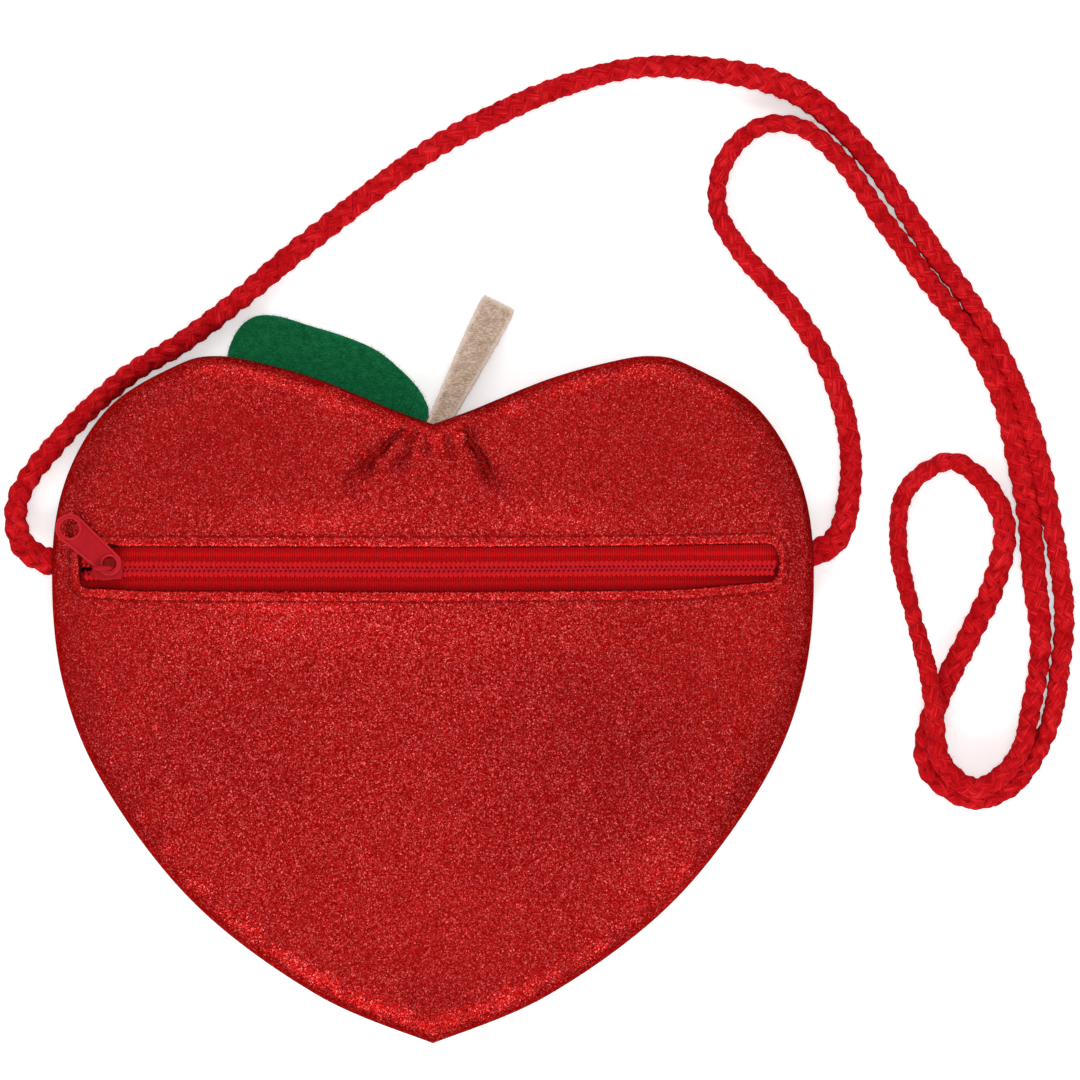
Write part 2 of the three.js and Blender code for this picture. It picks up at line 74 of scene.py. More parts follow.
# Zip
ZIP_Y = 34.8
WINDOW_LEFT = -93.2
WINDOW_RIGHT = 91.6
WINDOW_HALF = 5.7
WINDOW_CORNER = 1.6
HEM_ROLL = 0.95
STITCH_OFFSET = 2.9
STITCH_PITCH = 3.4
STITCH_STEP = 0.25
THREAD_SIDES = 7
TAPE_TOP = 14.5
TAPE_BOTTOM = 14.0
TAPE_LEFT = -94.7
TAPE_RIGHT = 94.2
TAPE_REACH = 12.0
TAPE_STEPS = 1530
TAPE_BULGE = 0.3
RIB_PITCH = 0.62
RIB_HEIGHT = 0.06
COIL_LEFT = -93.0
COIL_RIGHT = 91.7
COIL_BOTTOM = 14.7
COIL_MIDDLE = 0.8
COIL_HALF = 1.08
COIL_RISE = 0.3
TOOTH_PITCH = 1.27
SLIDER_X = -86.2
SPREAD = 0.9
SPREAD_BEFORE = 4.0
SPREAD_AFTER = 2.0
PLATE_THICKNESS = 0.9
TOP_PLATE_Z = 16.6
BOTTOM_PLATE_Z = 13.25
FLANGE_Z = 15.75
FLANGE_HEIGHT = 1.9
POST_Z = 14.95
POST_HEIGHT = 3.3
BAIL_FOOT_Z = 17.0
BAIL_STEPS = 60
PIVOT_X = -84.4
PIVOT_Z = 18.2846
PULL_BEFORE = 0.9
PULL_ABOVE = 1.4
PULL_YAW = radians(138.4)
PULL_RING = 3.2
PULL_GRIP = 3.9
PULL_LENGTH = 14.0
PULL_THICKNESS = 1.2

# Shoulder cord: points of its route and the half width of the oval braid seen from above
CORD_DIAMETER = 5.8
CORD_KNOT_STEPS = 40
CORD_STEPS = 1700
CORD_STRANDS = 8
CORD_TURN = 18.8
CORD_WEAVE = 0.32
STRAND_INSET = 1.05
STRAND_THICK = 0.95
STRAND_WIDE = 1.5
STRAND_SIDES = 8
STRAND_HAIRS = 700
CORD_ROUTE = np.array([
    (-94.7, 36.3, 8.5, 4), (-103.7, 37, 7.8, 3.6), (-110.4, 42.1, 4.1, 3.3), (-111.2, 53.2, 3, 3),
    (-98.3, 71.3, 3, 2.9), (-81.9, 86.3, 3, 2.8), (-67.9, 94.9, 3, 2.9), (-51.8, 107.1, 3, 2.9),
    (-35.8, 120.4, 3, 3.1), (-3.6, 145, 3, 3), (12.5, 154.2, 3, 3.1), (33.9, 163.6, 3, 2.9),
    (55.3, 169, 3, 2.8), (76.8, 168, 3, 3.3), (98.2, 161.9, 3, 3.5), (116.9, 144.2, 3, 2.9),
    (133.5, 120.1, 3, 3), (145.2, 104, 3, 2.7), (153.9, 87.9, 3, 2.75), (159.8, 71.9, 3, 2.95),
    (163.7, 55.8, 3, 3), (166.9, 39.7, 3, 2.6), (168.8, 23.6, 3, 2.7), (167.6, 7.6, 3, 2.7),
    (164.4, -8.5, 3, 2.6), (154.3, -23.6, 3, 2.8), (143.5, -26.9, 3, 2.8), (132.2, -18.2, 3, 3),
    (134.4, -2.4, 3, 3.2), (142.9, 15.6, 3, 3.1), (150.4, 31.7, 3, 3.2), (153, 46, 3, 3),
    (148, 57, 3, 2.8), (138.4, 63.4, 3, 2.5), (126.6, 55.8, 3, 2.4), (124.3, 42, 3, 2.3),
    (127.9, 23.7, 5, 2.2), (131.8, 7.7, 8.2, 2.4), (133.4, -2.4, 9.4, 2.5), (136, -17.4, 8, 2.7),
    (145, -23.9, 7.4, 2.8), (155.4, -16.4, 6.2, 2.6), (160.2, -0.4, 4.2, 2.7), (162.6, 15.6, 3.2, 2.9),
    (160.9, 31.7, 3, 3.3), (159.5, 47.8, 3, 3.2), (156.4, 63.8, 3.4, 3.1), (152.3, 79.9, 3.6, 2.9),
    (144.5, 96, 3.5, 2.75), (132.3, 112, 3, 2.8), (120.3, 128.1, 3, 2.7), (109.2, 144.2, 3, 2.6),
    (98.2, 152.9, 3, 2.4), (87.5, 153, 3, 2.4), (78.1, 144.2, 3, 2.5), (76, 131.5, 3, 2.5),
    (82, 120.1, 3, 2.7), (96.2, 104, 3, 2.8), (106, 87.9, 3, 2.8), (110.9, 71.8, 3, 2.9),
    (111.4, 55.8, 3, 3), (107.3, 42, 4.8, 3.4), (94.4, 36.8, 8.5, 3.7),
])

# Felt: distance along the leaf, then its lower and upper edge; distance along the stem, then its half width
FELT_THICKNESS = 1.5
FELT_LOW_Z = 0.95
LEAF_ROOT = np.array([-1.3, CLEFT_Y])
LEAF_ROOT_Z = 7.6
LEAF_ANGLE = radians(157.6)
LEAF_SECTIONS = np.array([
    (-3, -2.4, 0.9), (0.5, -2.4, 1.8), (1.5, -2, 3.9), (4, -2, 6.3), (6.5, -2.2, 8.1), (8, -3, 8.8),
    (10, -4, 9.8), (13, -7, 10.9), (17, -11, 12.3), (22, -12.8, 13.3), (30, -13, 13.3), (40, -12.2, 12.4),
    (48, -11, 11.6), (53.5, -8.6, 9.6), (56.4, -4.8, 6), (57.4, -1.5, 2),
])
STEM_ROOT = np.array([1.3, CLEFT_Y])
STEM_ROOT_Z = 9.4
STEM_ANGLE = radians(63.6)
STEM_LENGTH = 36.7
STEM_SECTIONS = np.array([(-5, 2.6), (0, 2.9), (18, 4.1), (33, 4.8), (36.7, 4.4)])


# Meshes

def new_object(name, data):
    made = bpy.data.objects.new(name, data)
    bpy.context.scene.collection.objects.link(made)
    return made


def make_mesh(name, points, faces, material):
    mesh = bpy.data.meshes.new(name)
    mesh.from_pydata((np.asarray(points, float) * MM).tolist(), [], faces)
    mesh.polygons.foreach_set("use_smooth", [True] * len(mesh.polygons))
    mesh.materials.append(material)
    return new_object(name, mesh)


def make_piece(name, points, faces, material, body, slot, *nodes, **numbers):
    """A piece that rides on a body and stands for nodes; slot is not used. Its material reads the numbers of
    its vertices. Both sides of a closed sheet get the same numbers."""
    piece = make_mesh(name, points, faces, material)
    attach(piece, body)
    if nodes:
        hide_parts(*nodes)
    for number, values in numbers.items():
        values = np.resize(np.asarray(values, np.float32), len(points))
        piece.data.attributes.new(number, "FLOAT", "POINT").data.foreach_set("value", values)
    return piece


def joined(parts):
    """Several (points, faces) as one."""
    points, faces, start = [], [], 0
    for part_points, part_faces in parts:
        points.append(part_points)
        faces += [tuple(i + start for i in face) for face in part_faces]
        start += len(part_points)
    return np.concatenate(points), faces


def unit(vectors):
    return vectors / np.maximum(np.linalg.norm(vectors, axis=-1, keepdims=True), 1e-12)


def smoothstep(value, zero, one):
    """Runs smoothly from 0 at one value to 1 at another, which may be the lower of the two."""
    t = np.clip((np.asarray(value, float) - zero) / (one - zero), 0, 1)
    return t * t * (3 - 2 * t)


def strip_faces(first, second, count):
    """Quads between two rings of equal length whose points start at these numbers."""
    ahead = [(i + 1) % count for i in range(count)]
    return [(first + i, first + j, second + j, second + i) for i, j in enumerate(ahead)]


def sweep(centres, normals, out, across, sides):
    """A closed tube along centres, out thick along the normals and across thick beside them."""
    count = len(centres)
    along = unit(np.gradient(centres, axis=0))
    normals = unit(normals - along * (normals * along).sum(1, keepdims=True))
    beside = np.cross(along, normals)
    angle = np.arange(sides) * tau / sides
    out = np.broadcast_to(out, count)[:, None, None]
    across = np.broadcast_to(across, count)[:, None, None]
    rings = (
        centres[:, None]
        + normals[:, None] * np.cos(angle)[None, :, None] * out
        + beside[:, None] * np.sin(angle)[None, :, None] * across
    )
    faces = []
    for ring in range(count - 1):
        faces += strip_faces(ring * sides, (ring + 1) * sides, sides)
    faces.append(tuple(range(sides))[::-1])
    faces.append(tuple(range((count - 1) * sides, count * sides)))
    return rings.reshape(-1, 3), faces


def fibres(roots, directions, lengths, radius, rng):
    """Thin bent hairs, each a closed three-sided tube that ends in a point."""
    count = len(roots)
    side = unit(np.cross(directions, unit(rng.normal(size=(count, 3)))))
    other = np.cross(directions, side)
    bend = side * rng.normal(size=(count, 1)) * 0.5 * lengths[:, None]
    reach = directions * lengths[:, None]
    rings = []
    for share, thick in ((0, 1), (0.5, 0.8), (0.85, 0.55)):
        centre = roots + reach * share + bend * share**2
        for angle in np.arange(3) * tau / 3:
            rings.append(centre + (side * cos(angle) + other * sin(angle)) * radius * thick)
    rings.append(roots + reach + bend)
    points = np.stack(rings, 1).reshape(-1, 3)
    pattern = [(0, 2, 1), *strip_faces(0, 3, 3), *strip_faces(3, 6, 3), (6, 7, 9), (7, 8, 9), (8, 6, 9)]
    faces = [tuple(len(rings) * n + i for i in face) for n in range(count) for face in pattern]
    return points, faces


def distance_to(ring, xy):
    """Distance of each point from a closed polyline, and the nearest segment's number."""
    along = np.roll(ring, -1, 0) - ring
    square = np.maximum((along**2).sum(1), 1e-12)
    best, which = [], []
    for some in np.array_split(xy, len(xy) // 2000 + 1):
        off = some[:, None] - ring
        t = np.clip((off * along).sum(2) / square, 0, 1)
        gap = np.linalg.norm(off - t[..., None] * along, axis=2)
        best.append(gap.min(1))
        which.append(gap.argmin(1))
    return np.concatenate(best), np.concatenate(which)


def inside(ring, xy):
    x, y = xy[:, :1], xy[:, 1:]
    ax, ay = ring[:, 0], ring[:, 1]
    bx, by = np.roll(ax, -1), np.roll(ay, -1)
    rise = np.where(by == ay, 1e-12, by - ay)
    crosses = ((ay > y) != (by > y)) & (x < ax + (y - ay) * (bx - ax) / rise)
    return crosses.sum(1) % 2 == 1


def within(rings, xy):
    """Which points are inside the first ring and outside the others."""
    good = inside(rings[0], xy)
    for ring in rings[1:]:
        good &= ~inside(ring, xy)
    return good


def hexagonal(low, high, spacing):
    rows = np.arange(low[1], high[1], spacing * 0.866)
    columns = np.arange(low[0], high[0], spacing)
    x, y = np.meshgrid(columns, rows)
    x = x + (np.arange(len(rows)) % 2)[:, None] * spacing / 2
    return np.stack([x.ravel(), y.ravel()], 1)


def fill(rings, extra, spacing):
    """Triangles over the area inside the first ring and outside the others. Ring points come first."""
    grid = hexagonal(rings[0].min(0), rings[0].max(0), spacing)
    grid = np.concatenate([grid, np.reshape(extra, (-1, 2))])
    keep = within(rings, grid)
    edges, start = [], 0
    for ring in rings:
        keep &= distance_to(ring, grid)[0] > spacing * 0.45
        edges += [(start + i, start + (i + 1) % len(ring)) for i in range(len(ring))]
        start += len(ring)
    points = np.concatenate([*rings, grid[keep]])
    made = delaunay_2d_cdt([tuple(p) for p in points], edges, [], 0, 1e-9)
    back = [group[0] for group in made[3]]
    triangles = np.array([[back[i] for i in face] for face in made[2]])
    good = within(rings, points[triangles].mean(1))
    return points, [tuple(face) for face in triangles[good].tolist()]


def sheet(boundaries, extra, spacing):
    """A flat mesh: each boundary is a list of rings from the edge inwards, the outer boundary first.
    Gives the points, the faces and the number of the first point of each ring."""
    points, faces = fill([rings[-1] for rings in boundaries], extra, spacing)
    order, numbers = [points], []
    start, first = len(points), 0
    for n, rings in enumerate(boundaries):
        count = len(rings[0])
        row = []
        for ring in rings[:-1]:
            row.append(start)
            order.append(ring)
            start += count
        row.append(first)
        first += count
        for a, b in zip(row, row[1:]):
            quads = strip_faces(a, b, count)
            faces += quads if n == 0 else [face[::-1] for face in quads]
        numbers.append(row)
    return np.concatenate(order), faces, numbers


def left_of(ring):
    """The step of 1 mm to the left of the ring's way at each of its points."""
    along = unit(np.roll(ring, -1, 0) - np.roll(ring, 1, 0))
    return np.stack([-along[:, 1], along[:, 0]], 1)


def offset_rings(ring, insets):
    """Copies of the ring moved to its left by each inset."""
    return [ring + left_of(ring) * inset for inset in insets]


def closed(outer, inner, faces):
    """Two copies of a sheet with walls between their edges."""
    count = len(outer)
    edges = set()
    for face in faces:
        for i, a in enumerate(face):
            b = face[(i + 1) % len(face)]
            if (b, a) in edges:
                edges.remove((b, a))
            else:
                edges.add((a, b))
    walls = [(b, a, a + count, b + count) for a, b in sorted(edges)]
    backs = [tuple(i + count for i in reversed(face)) for face in faces]
    return np.concatenate([outer, inner]), faces + backs + walls


def normals_of(points, faces):
    normals = np.zeros_like(points)
    for corners in (3, 4):
        group = np.array([face for face in faces if len(face) == corners])
        if len(group):
            a, b = points[group[:, 2]] - points[group[:, 0]], points[group[:, -1]] - points[group[:, 1]]
            flat = np.cross(a, b)
            for corner in range(corners):
                np.add.at(normals, group[:, corner], flat)
    return unit(normals)


def shell(points, faces, thickness):
    """A sheet thickened away from its outer side and closed all round."""
    points = np.asarray(points, float)
    return closed(points, points - normals_of(points, faces) * thickness, faces)


def area_of(ring):
    """A flat ring's area, in square metres."""
    x, y = ring.T
    return abs(float((x * np.roll(y, -1) - np.roll(x, -1) * y).sum())) / 2 * MM * MM


def rounded_slab(outer, holes, middle, thickness, corner, spacing, dent=None):
    """A plate over a flat outline with rounded edges, thickness thick about the height that middle is or
    gives. Both its faces are sunk by what dent gives."""
    insets = np.array([0, 0.08, 0.3, 0.62, 1.0]) * corner
    boundaries = [offset_rings(outer, insets)] + [offset_rings(hole, -insets) for hole in holes]
    xy, faces, numbers = sheet(boundaries, (), spacing)
    depth = np.full(len(xy), corner, float)
    for row, rings in zip(numbers, boundaries):
        for number, inset in zip(row, insets):
            depth[number : number + len(rings[0])] = inset
    fall = corner * (1 - np.sqrt(np.maximum(1 - (1 - depth / corner) ** 2, 0)))
    z = middle(xy) if callable(middle) else middle
    half = thickness / 2 - fall - (dent(xy) if dent else 0)
    return closed(np.c_[xy, z + half], np.c_[xy, z - half], faces)


def ripples(xy, shortest, longest, count, seed):
    """Smooth unevenness of about plus or minus one."""
    rng = np.random.default_rng(seed)
    total = np.zeros(len(xy))
    for _ in range(count):
        length = rng.uniform(shortest, longest)
        angle = rng.uniform(0, tau)
        way = np.array([cos(angle), sin(angle)]) * tau / length
        total += np.cos(xy @ way + rng.uniform(0, tau))
    return total / sqrt(count)


# Lines of the bag

def places(line, power=1):
    """How far along a line each of its points lies, with each step's length taken to a power."""
    return np.r_[0, np.cumsum(np.linalg.norm(np.diff(line, axis=0), axis=1) ** power)]


def between(a, b, t, start, end):
    return a + (b - a) * (t - start) / (end - start)


def smooth_line(knots, before, after, power, steps):
    """Points on a smooth line through the knots, paced by the distance between them to a power."""
    points = np.concatenate([[before], knots, [after]])
    line = []
    for i in range(len(knots) - 1):
        p = points[i : i + 4]
        at = places(p[:, :3], power)
        t = np.linspace(at[1], at[2], steps, endpoint=False)[:, None]
        a, b, c = (between(p[k], p[k + 1], t, at[k], at[k + 1]) for k in range(3))
        first, second = between(a, b, t, at[0], at[2]), between(b, c, t, at[1], at[3])
        line.append(between(first, second, t, at[1], at[2]))
    return np.concatenate([*line, knots[-1:]])


def spline_points(knots, count):
    return evenly(smooth_line(knots, knots[0], knots[-1], 0, SPLINE_STEPS), count)


def evenly(line, count):
    length = places(line)
    wanted = np.linspace(0, length[-1], count)
    return np.stack([np.interp(wanted, length, line[:, i]) for i in range(line.shape[1])], 1)


def evenly_round(ring, count):
    """Equally spaced points round a closed line."""
    return evenly(np.concatenate([ring, ring[:1]]), count + 1)[:-1]


def heart_outline():
    """The outline anticlockwise from the tip, and the step that moves each point 1 mm in."""
    half = spline_points(HEART_KNOTS * (BAG_WIDTH / 2, BAG_HEIGHT), HEART_POINTS // 2 + 1)[::-1]
    outline = np.concatenate([half, half[1:-1][::-1] * (-1, 1)])
    middle = unit(HEART_MIDDLE - outline)
    return outline, middle / np.maximum((middle * left_of(outline)).sum(1), 0.75)[:, None]


outline, inward = heart_outline()


def bow(x):
    """How far the window's line bows off straight."""
    return np.interp(x, (-95, -50, 0, 50, 92, 100), (0, -0.1, -0.25, 0.1, 0.8, 0.9))


def zip_bow(x):
    """How far the tapes and coils bow, less at the right so that the slider runs clear to its stop."""
    return np.interp(x, (-95, -50, 0, 50, 75, 100), (0, -0.1, -0.2, 0.1, 0.2, 0.2))


def zip_ring(left, right, half, corner, spacing):
    """A rounded rectangle about the zip's line, anticlockwise."""
    line = []
    x, y = (right - corner, left + corner), (half - corner, corner - half)
    for i, j, start in ((0, 1, -90), (0, 0, 0), (1, 0, 90), (1, 1, 180)):
        for angle in np.radians(np.linspace(start, start + 90, 9)):
            line.append((x[i] + corner * cos(angle), y[j] + corner * sin(angle)))
    length = 2 * (right - left) + 4 * half
    ring = evenly_round(line, int(length / spacing) - 1)
    ring[:, 1] += ZIP_Y
    return ring


def window_ring(offset, spacing=1.5):
    """The zip window's edge moved out by offset, lifted at both ends below and drawn in at the right."""
    half = WINDOW_HALF + offset
    ring = zip_ring(WINDOW_LEFT - offset, WINDOW_RIGHT + offset, half, WINDOW_CORNER + offset, spacing)
    x, y = ring.T
    off = (y - ZIP_Y) / half
    lift_right = 1.6 * smoothstep(x, WINDOW_RIGHT - 30, WINDOW_RIGHT)
    lift_left = 0.75 * smoothstep(x, WINDOW_LEFT + 22, WINDOW_LEFT)
    drawn_in = np.where(off > 0, 1.3, 0.8) * off**2 * smoothstep(x, WINDOW_RIGHT - 6, WINDOW_RIGHT)
    return np.c_[x - drawn_in, y + bow(x) + np.where(off < 0, lift_right + lift_left, 0)]


def window_rings(offsets, spacing):
    """The window's edge moved out by each offset, with equally many points."""
    rings = [window_ring(offset, spacing) for offset in offsets]
    return [evenly_round(ring, len(rings[0])) for ring in rings]


window = window_ring(0)
stitch_line = window_ring(STITCH_OFFSET, STITCH_STEP)


# Folds that run out from the gathered cleft: points, width at each end and depth
FOLDS = [
    ([(-6.6, 72.6), (-10.8, 69), (-15.7, 64.5), (-20.6, 59.3), (-26, 53)], 1.3, 2.6, 1.9),
    ([(-3.9, 71.5), (-6.9, 66.6), (-9.8, 61.2), (-12.8, 56.5)], 1.0, 1.7, 1.4),
    ([(-1.4, 71.4), (-2.2, 68.5), (-2.9, 63)], 0.8, 1.3, 1.1),
    ([(3.6, 71), (4.6, 67), (5.6, 61)], 0.8, 1.4, 1.0),
    ([(8.0, 72.6), (11.5, 66.6), (14.8, 60.5), (19, 51.5)], 1.2, 2.4, 1.9),
]
# Broad swellings of the cloth: middle, size across and along, height
SWELLINGS = [
    (-32, 51.5, 13, 3.8, 0.45), (-32, 44.5, 13, 2.4, -0.5), (34, 51.5, 13, 3.8, 0.45),
    (34, 44.5, 13, 2.4, -0.5), (1, 61, 5, 7, 0.9), (-40, 23.5, 22, 4.2, 1.3), (40, 21, 14, 5, 0.9),
    (-12, 3, 24, 10, 0.8), (-48, -15, 20, 22, 0.4), (30, -32, 22, 16, -0.4),
]
# Painted sheen and shade on the front: patches where the flakes' colour is made brighter or darker in the
# stead of light, middle, size across and along, share
LAYS = [
    (-32, 47.5, 14, 2.8, 0.28), (34, 47.5, 13, 2.8, 0.22), (-40, 20, 24, 5, 0.22), (20, 19, 20, 6, 0.1),
    (-58, 62, 24, 14, -0.1), (58, 62, 24, 14, -0.1), (48, -14, 26, 26, -0.2), (-48, -14, 22, 22, -0.08),
    (0, -84, 24, 10, -0.14), (-70, -46, 12, 10, 0.1), (66, -50, 12, 10, 0.28),
]
# Where the flakes differ less from each other: middle, size across and along, share
CALMS = [
    (-58, 68, 32, 15, 0.42), (58, 68, 32, 15, 0.4), (-90, 22, 13, 22, 0.35), (80, 13, 20, 14, 0.32),
    (0, -72, 44, 20, 0.2),
]


def patches_at(xy, patches):
    """The sum of soft patches at each point."""
    total = np.zeros(len(xy))
    for x, y, across, along, share in patches:
        total += share * np.exp(-0.5 * (((xy - (x, y)) / (across, along)) ** 2).sum(1))
    return total


def folds_at(xy):
    """For each fold: how far across it a point lies, in fold widths, and the depth there."""
    wave = np.stack([ripples(xy, 3.5, 8, 12, seed) for seed in (51, 52)], 1)
    bent = xy + 0.4 * wave
    for line, narrow, wide, depth in FOLDS:
        line = evenly(np.array(line, float), FOLD_STEPS)
        gap = np.linalg.norm(bent[:, None] - line[None], axis=2)
        at = gap.argmin(1) / (FOLD_STEPS - 1)
        strength = smoothstep(at, -0.12, 0.12) * smoothstep(at, 1.0, 0.55)
        yield gap.min(1) / (narrow + (wide - narrow) * at), depth * strength


def creases(xy):
    """How much painted shade darkens a point that lies deep in the gathers or in the stitch line."""
    total = np.zeros(len(xy))
    for across, depth in folds_at(xy):
        total += depth / DEEPEST_FOLD * np.exp(-0.9 * across**2)
    sewn = 0.35 * np.exp(-((distance_to(stitch_line, xy)[0] / 0.45) ** 2))
    return 0.62 * np.clip(total, 0, 1) + sewn


def flake_shine(xy):
    """How bright the flakes of the front are painted: painted sheen and shade in patches, and a painted
    highlight on the puffed hem and the rounded edge.
    """
    hem = 0.2 * np.exp(-(((distance_to(window, xy)[0] - 1.5) / 0.8) ** 2))
    edge = 0.5 * smoothstep(distance_to(outline, xy)[0], 1.5, 0.4)
    return 1 + patches_at(xy, LAYS) + hem + edge


def fold_height(xy):
    """Height of the swellings less the depth of the folds."""
    total = patches_at(xy, SWELLINGS)
    for across, depth in folds_at(xy):
        total -= depth * np.exp(0.2 - 1.2 * np.sqrt(across**2 + 0.03))
    return total


def rise(d, zone, power):
    """Share of the full height at a distance in from the seam."""
    across = 1 - np.clip(d / zone, 0, 1)
    return (1 - across**power) ** (1 / power)


def inset_height(from_seam, depth):
    """The plain front, without gathers, a depth under the outer face."""
    height = BAG_THICKNESS - SEAM_Z - depth
    return SEAM_Z + height * rise(from_seam - depth, FRONT_ZONE - depth, FRONT_POWER)


def front_extra(xy, from_seam):
    """What the padding, the gathers, the hem and the stitch line add to the plain front."""
    from_window = distance_to(window, xy)[0]
    from_stitch, which = distance_to(stitch_line, xy)
    crown = 0.9 * smoothstep(np.minimum(from_seam, from_window), 10, 42)
    gathers = fold_height(xy) * smoothstep(from_window, 2.9, 6.5) * smoothstep(from_seam, 0.2, 2.5)
    clear = smoothstep(from_window, 3, 16) * smoothstep(from_seam, 3, 14)
    waves = clear * (0.22 * ripples(xy, 16, 45, 14, 3) + 0.04 * ripples(xy, 4, 9, 26, 4))
    pucker = 0.05 * (ripples(xy, 3, 8, 20, 5) + 1) * smoothstep(from_window, 12, 4)
    puff = 0.2 * np.exp(-(((from_window - 1.4) / 0.9) ** 2))
    roll = HEM_ROLL * (1 - rise(from_window, HEM_ROLL, 2))
    stitch = 0.15 + 0.15 * np.cos(which * STITCH_STEP * tau / STITCH_PITCH)
    valley = stitch * np.exp(-((from_stitch / 0.55) ** 2))
    edge = smoothstep(from_seam, 0.5, 1.5) * smoothstep(from_seam, 9, 3)
    ruffle = 0.25 * edge * ripples(xy, 6, 16, 20, 6)
    return crown + gathers + waves + pucker + puff - roll - valley + ruffle


def front_height(xy, depth=0.0):
    from_seam = distance_to(outline, xy)[0]
    return inset_height(from_seam, depth) + front_extra(xy, from_seam)


def front_lining_height(xy):
    from_seam = distance_to(outline, xy)[0]
    folds = fold_height(xy) * smoothstep(from_seam, 4, 8) * smoothstep(distance_to(window, xy)[0], 4, 9)
    return inset_height(from_seam, FRONT_LINING_DEPTH) + 0.7 * np.minimum(folds, 0)


def back_height(xy, depth=0.0):
    from_seam = distance_to(outline, xy)[0]
    plain = SEAM_Z - (SEAM_Z - depth) * rise(from_seam - depth, BACK_ZONE - depth, BACK_POWER)
    waves = 0.16 * (ripples(xy, 16, 40, 14, 8) + 1.2) * smoothstep(from_seam, 4, 18)
    edge = smoothstep(from_seam, 0.5, 2) * smoothstep(from_seam, 12, 4)
    ruffle = 0.2 * edge * ripples(xy, 7, 18, 20, 9)
    return np.maximum(plain + waves + ruffle, depth + 0.02)


def heart_sheet(side, edge, insets, hole, extra, spacing, height):
    """A heart-shaped sheet that faces the front or the back: the rings (inset, z) of its edge, rings further
    in from the seam, then a filled middle round the hole."""
    rings = [outline + inward * inset for inset in [*(inset for inset, _ in edge), *insets]]
    xy, faces, numbers = sheet([rings, hole] if hole else [rings], extra, spacing)
    z = height(xy)
    for number, (_, fixed) in zip(numbers[0], edge):
        z[number : number + len(outline)] = fixed
    return np.c_[xy, z], faces if side == "front" else [face[::-1] for face in faces]


# Materials

def new_material(name):
    made = bpy.data.materials.new(name)
    made.use_nodes = True
    return made, made.node_tree


def add(tree, kind, settings=None, inputs=None):
    """A shader node with its settings, and its inputs by name or number: a value, or a socket to link."""
    node = tree.nodes.new("ShaderNode" + kind)
    for name, value in (settings or {}).items():
        setattr(node, name, value)
    for name, value in (inputs or {}).items():
        connect(tree, node.inputs[name], value)
    return node


def connect(tree, socket, value):
    """Links a socket or sets it to a value, a colour without its alpha."""
    if isinstance(value, bpy.types.NodeSocket):
        tree.links.new(value, socket)
    else:
        socket.default_value = (*value, 1) if socket.type == "RGBA" else value


def set_shader(made, **inputs):
    """Sets or links the inputs of a material's shader by their names."""
    sockets = made.node_tree.nodes["Principled BSDF"].inputs
    for name, value in inputs.items():
        connect(made.node_tree, sockets[name.replace("_", " ").title().replace("Ior", "IOR")], value)
    return made


def where(tree):
    return add(tree, "TexCoord").outputs["Object"]


def math_of(tree, operation, a, b=0.0):
    return add(tree, "Math", {"operation": operation}, {0: a, 1: b}).outputs[0]


def weighed(tree, first, second, share):
    """A mix of two patterns, with this share of the first."""
    rest = math_of(tree, "MULTIPLY", second, 1 - share)
    return math_of(tree, "ADD", math_of(tree, "MULTIPLY", first, share), rest)


def vector_math(tree, operation, inputs):
    return add(tree, "VectorMath", {"operation": operation}, inputs).outputs[0]


def noise(tree, scale, detail=2.0, vector=None, roughness=0.5):
    inputs = {"Vector": vector or where(tree), "Scale": scale, "Detail": detail, "Roughness": roughness}
    return add(tree, "TexNoise", None, inputs).outputs["Fac"]


def wave(tree, scale, bands="X", distortion=0.0):
    inputs = {"Vector": where(tree), "Scale": scale, "Distortion": distortion}
    return add(tree, "TexWave", {"bands_direction": bands}, inputs).outputs["Fac"]


def ramp(tree, value, stops):
    node = add(tree, "ValToRGB", None, {"Fac": value})
    elements = node.color_ramp.elements
    while len(elements) < len(stops):
        elements.new(0.5)
    for element, (place, colour) in zip(elements, stops):
        element.position = place
        element.color = (*colour, 1)
    return node.outputs["Color"]


def mix(tree, share, first, second, blend="MIX"):
    settings = {"data_type": "RGBA", "blend_type": blend}
    return add(tree, "Mix", settings, {0: share, 6: first, 7: second}).outputs[2]


def bump(tree, height, distance, strength=1.0):
    inputs = {"Height": height, "Distance": distance, "Strength": strength}
    return add(tree, "Bump", None, inputs).outputs["Normal"]


def number_of(tree, name):
    return add(tree, "Attribute", {"attribute_name": name}).outputs["Fac"]


def patterned(name, pattern, stops, roughness, specular, depth=0.0, over=None):
    """A material whose colour and relief follow a pattern. over is a number of the mesh, and the colour that
    it mixes in."""
    made, tree = new_material(name)
    value = pattern(tree)
    colour = ramp(tree, value, stops)
    if over:
        colour = mix(tree, number_of(tree, over[0]), colour, over[1])
    if depth:
        set_shader(made, normal=bump(tree, value, depth))
    return set_shader(made, base_color=colour, roughness=roughness, specular_ior_level=specular)


